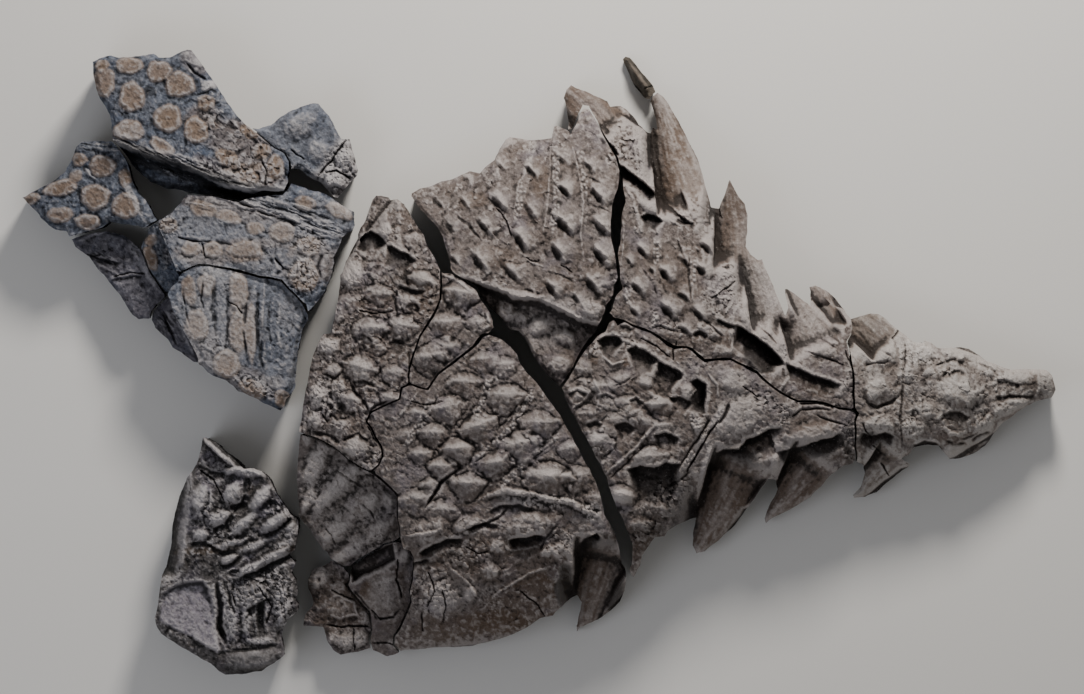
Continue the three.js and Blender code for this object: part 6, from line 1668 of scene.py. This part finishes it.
block(
    "hind_limb_block", "limb_stone", limb_rock, slab((235, 555), 225, 0.12, 0.06), seed=107,
    shelf=[([
        (160, 470), (190, 466), (192, 490), (186, 520), (182, 560), (178, 578), (150, 585), (150, 520),
    ], 60, 14)],
    lump=[
        (203, 500, 11, 15, -10, 26), (200, 534, 9, 6, 0, 16), (233, 492, 9, 12, -40, 26),
        (220, 517, 12, 8, 20, 22), (262, 498, 16, 7, 48, 26), (244, 524, 18, 6, 42, 24),
        (276, 520, 17, 6, 35, 28), (232, 543, 16, 4, 14, 16), (255, 545, 14, 4, 25, 16),
        (229, 559, 9, 4.5, 25, 18), (250, 568, 15, 5, 28, 24), (274, 555, 14, 5, 22, 20),
        (285, 545, 12, 6, 20, 12), (250, 595, 18, 14, 20, 18), (283, 605, 9, 22, 0, 18),
        (232, 622, 7, 18, 0, 16), (246, 620, 5, 16, 0, 12), (260, 641, 14, 4, 0, 14),
        (255, 659, 30, 11, 5, 26), (248, 472, 20, 5, -4, 14), (280, 492, 6, 14, 30, 12),
        (292, 530, 7, 10, 0, 10),
    ],
    ridge=[
        ([(202, 437), (212, 446), (224, 456), (238, 468)], 2.6, 30),
        ([(224, 476), (238, 469), (255, 469), (270, 478)], 2.8, 14),
        ([(217, 583), (220, 605), (219, 628), (226, 645)], 3.4, -26),
        ([(228, 588), (230, 605), (236, 616)], 2.4, -10),
        ([(262, 600), (260, 618), (262, 634)], 4.5, -18), ([(276, 500), (284, 512), (290, 522)], 1.5, -8),
        ([(224, 652), (240, 650), (262, 648), (280, 644)], 2.0, -9),
        ([(247, 600), (258, 594), (268, 588)], 1.6, 9), ([(236, 580), (232, 592), (236, 606)], 1.5, -10),
    ],
    step=[
        ([(196, 462), (214, 470), (232, 474)], 10, 8, 0.3),
        ([(213, 490), (210, 505), (204, 516)], 18, 6, 0.6),
        ([(228, 504), (240, 502), (246, 492)], 22, 8, 0.7),
        ([(212, 527), (224, 524), (232, 512)], 18, 7, 0.7),
        ([(186, 542), (205, 541), (222, 550), (240, 548)], 16, 7, 0.5),
        ([(238, 576), (256, 570), (276, 560), (296, 550)], 26, 9, 0.7),
        ([(220, 565), (232, 562), (240, 553)], 16, 7, 0.6),
        ([(262, 534), (278, 528), (292, 514)], 20, 7, 0.6),
        ([(245, 610), (262, 600), (274, 596)], 14, 7, 0.5),
    ],
    pit=[
        (248, 486, 4, 8, -10, 9), (270, 505, 8, 5, 20, 12), (241, 508, 8, 5, 40, 16),
        (236, 573, 7, 4, 0, 14),
    ],
    rubble=[
        (262, 585, 34, 22, 0, 15, 9, 0.25), (283, 605, 12, 24, 0, 10, 7, 0.4),
        (232, 605, 12, 26, 0, 10, 6, 0.3), (215, 470, 20, 14, 40, 13, 5, 0.2),
        (225, 535, 34, 12, 20, 13, 6, 0.2), (280, 508, 12, 16, 30, 11, 6, 0.2),
        (260, 642, 16, 5, 0, 9, 5, 0.7), (288, 530, 10, 14, 0, 12, 6, 0.2),
        (212, 515, 12, 22, 0, 11, 5, 0.3),
    ],
    patch=[
        (208, 470, 18, 10, 0, "dark", 0.45), (205, 550, 34, 5, 4, "brown", 0.8),
        (286, 548, 12, 5, 20, "brown", 0.9), (200, 568, 26, 12, 0, "dark", 0.6),
        (240, 585, 14, 10, 0, "dark", 0.4), (260, 618, 8, 18, 0, "dark", 0.5),
        (203, 498, 9, 13, -10, "pale", 0.45), (262, 496, 15, 6, 48, "pale", 0.5),
        (233, 490, 7, 9, -40, "pale", 0.4), (250, 568, 14, 4, 28, "pale", 0.6),
        (276, 519, 16, 4.5, 35, "pale", 0.45), (250, 470, 22, 4, -4, "pale", 0.6),
        (252, 488, 4, 8, 0, "brown", 0.6), (222, 450, 20, 3, -42, "pale", 0.7),
        (178, 530, 9, 50, -8, "dark", 0.3), (220, 517, 10, 6, 20, "pale", 0.4),
        (244, 524, 16, 5, 42, "pale", 0.4), (200, 535, 7, 4, 0, "pale", 0.5),
        (250, 661, 40, 12, 5, "dark", 0.6), (190, 652, 40, 8, 30, "dark", 0.3),
    ],
    crack=[[(258, 585), (272, 606), (266, 625)], [(200, 470), (215, 480), (224, 500)]],
    skin=(11, 3.6, 2.0, 7, 4), rounding=(18, 16), wear=4.5, strata=2, more=cut_face,
)


# Pale studio floor, soft light from the animal's left, and a camera straight above. The floor is
# matt paper, which takes the blocks' shadows softly and shows nothing of its own.
FLOOR, FLOOR_Z = 9, -0.001
corners = [(x * FLOOR, y * FLOOR, FLOOR_Z) for x, y in ((-1, -1), (1, -1), (1, 1), (-1, 1))]
floor_mesh = bpy.data.meshes.new("floor")
floor_mesh.from_pydata(corners, [], [(0, 1, 2, 3)])
floor = bpy.data.objects.new("floor", floor_mesh)
bpy.context.scene.collection.objects.link(floor)
paper = bpy.data.materials.new("pale studio floor")
paper.use_nodes = True
paper_shader = paper.node_tree.nodes["Principled BSDF"]
paper_shader.inputs["Base Color"].default_value = linear("#edebe8")
paper_shader.inputs["Roughness"].default_value = 0.9
floor_mesh.materials.append(paper)


def softbox(name, place, aim, size, watts, colour):
    """A round soft light that faces a place."""
    light = bpy.data.lights.new(name, "AREA")
    light.shape, light.size, light.energy = "DISK", size, watts
    light.color = linear(colour)[:3]
    lamp = bpy.data.objects.new(name, light)
    lamp.location = place
    lamp.rotation_euler = (Vector(aim) - Vector(place)).to_track_quat("-Z", "Y").to_euler()
    bpy.context.scene.collection.objects.link(lamp)


softbox("key", (0.9, 4.2, 2.9), (0, 0, 0.1), 1.2, 260, "#fffaf2")
softbox("fill", (-3.0, -1.5, 4.5), (0, 0, 0), 3.0, 40, "#eef3ff")
world = bpy.data.worlds.new("studio")
bpy.context.scene.world = world
world.use_nodes = True
background = world.node_tree.nodes["Background"]
background.inputs["Color"].default_value = linear("#ffffff")
background.inputs["Strength"].default_value = 0.22

LENS, SENSOR = 200, 36
VIEW_PX = (1084, 542, 347)  # width of the picture and its middle, in photograph pixels
REFERENCE_MM = 200  # height at which the picture's scale holds
view_centre = plan(VIEW_PX[1:]) * 0.001
camera_data = bpy.data.cameras.new("above")
camera_data.lens, camera_data.sensor_width = LENS, SENSOR
camera_data.clip_end = 60
camera = bpy.data.objects.new("above", camera_data)
camera.location = (*view_centre, VIEW_PX[0] * MM_PER_PX * 0.001 * LENS / SENSOR + REFERENCE_MM * 0.001)
bpy.context.scene.collection.objects.link(camera)
bpy.context.scene.camera = camera
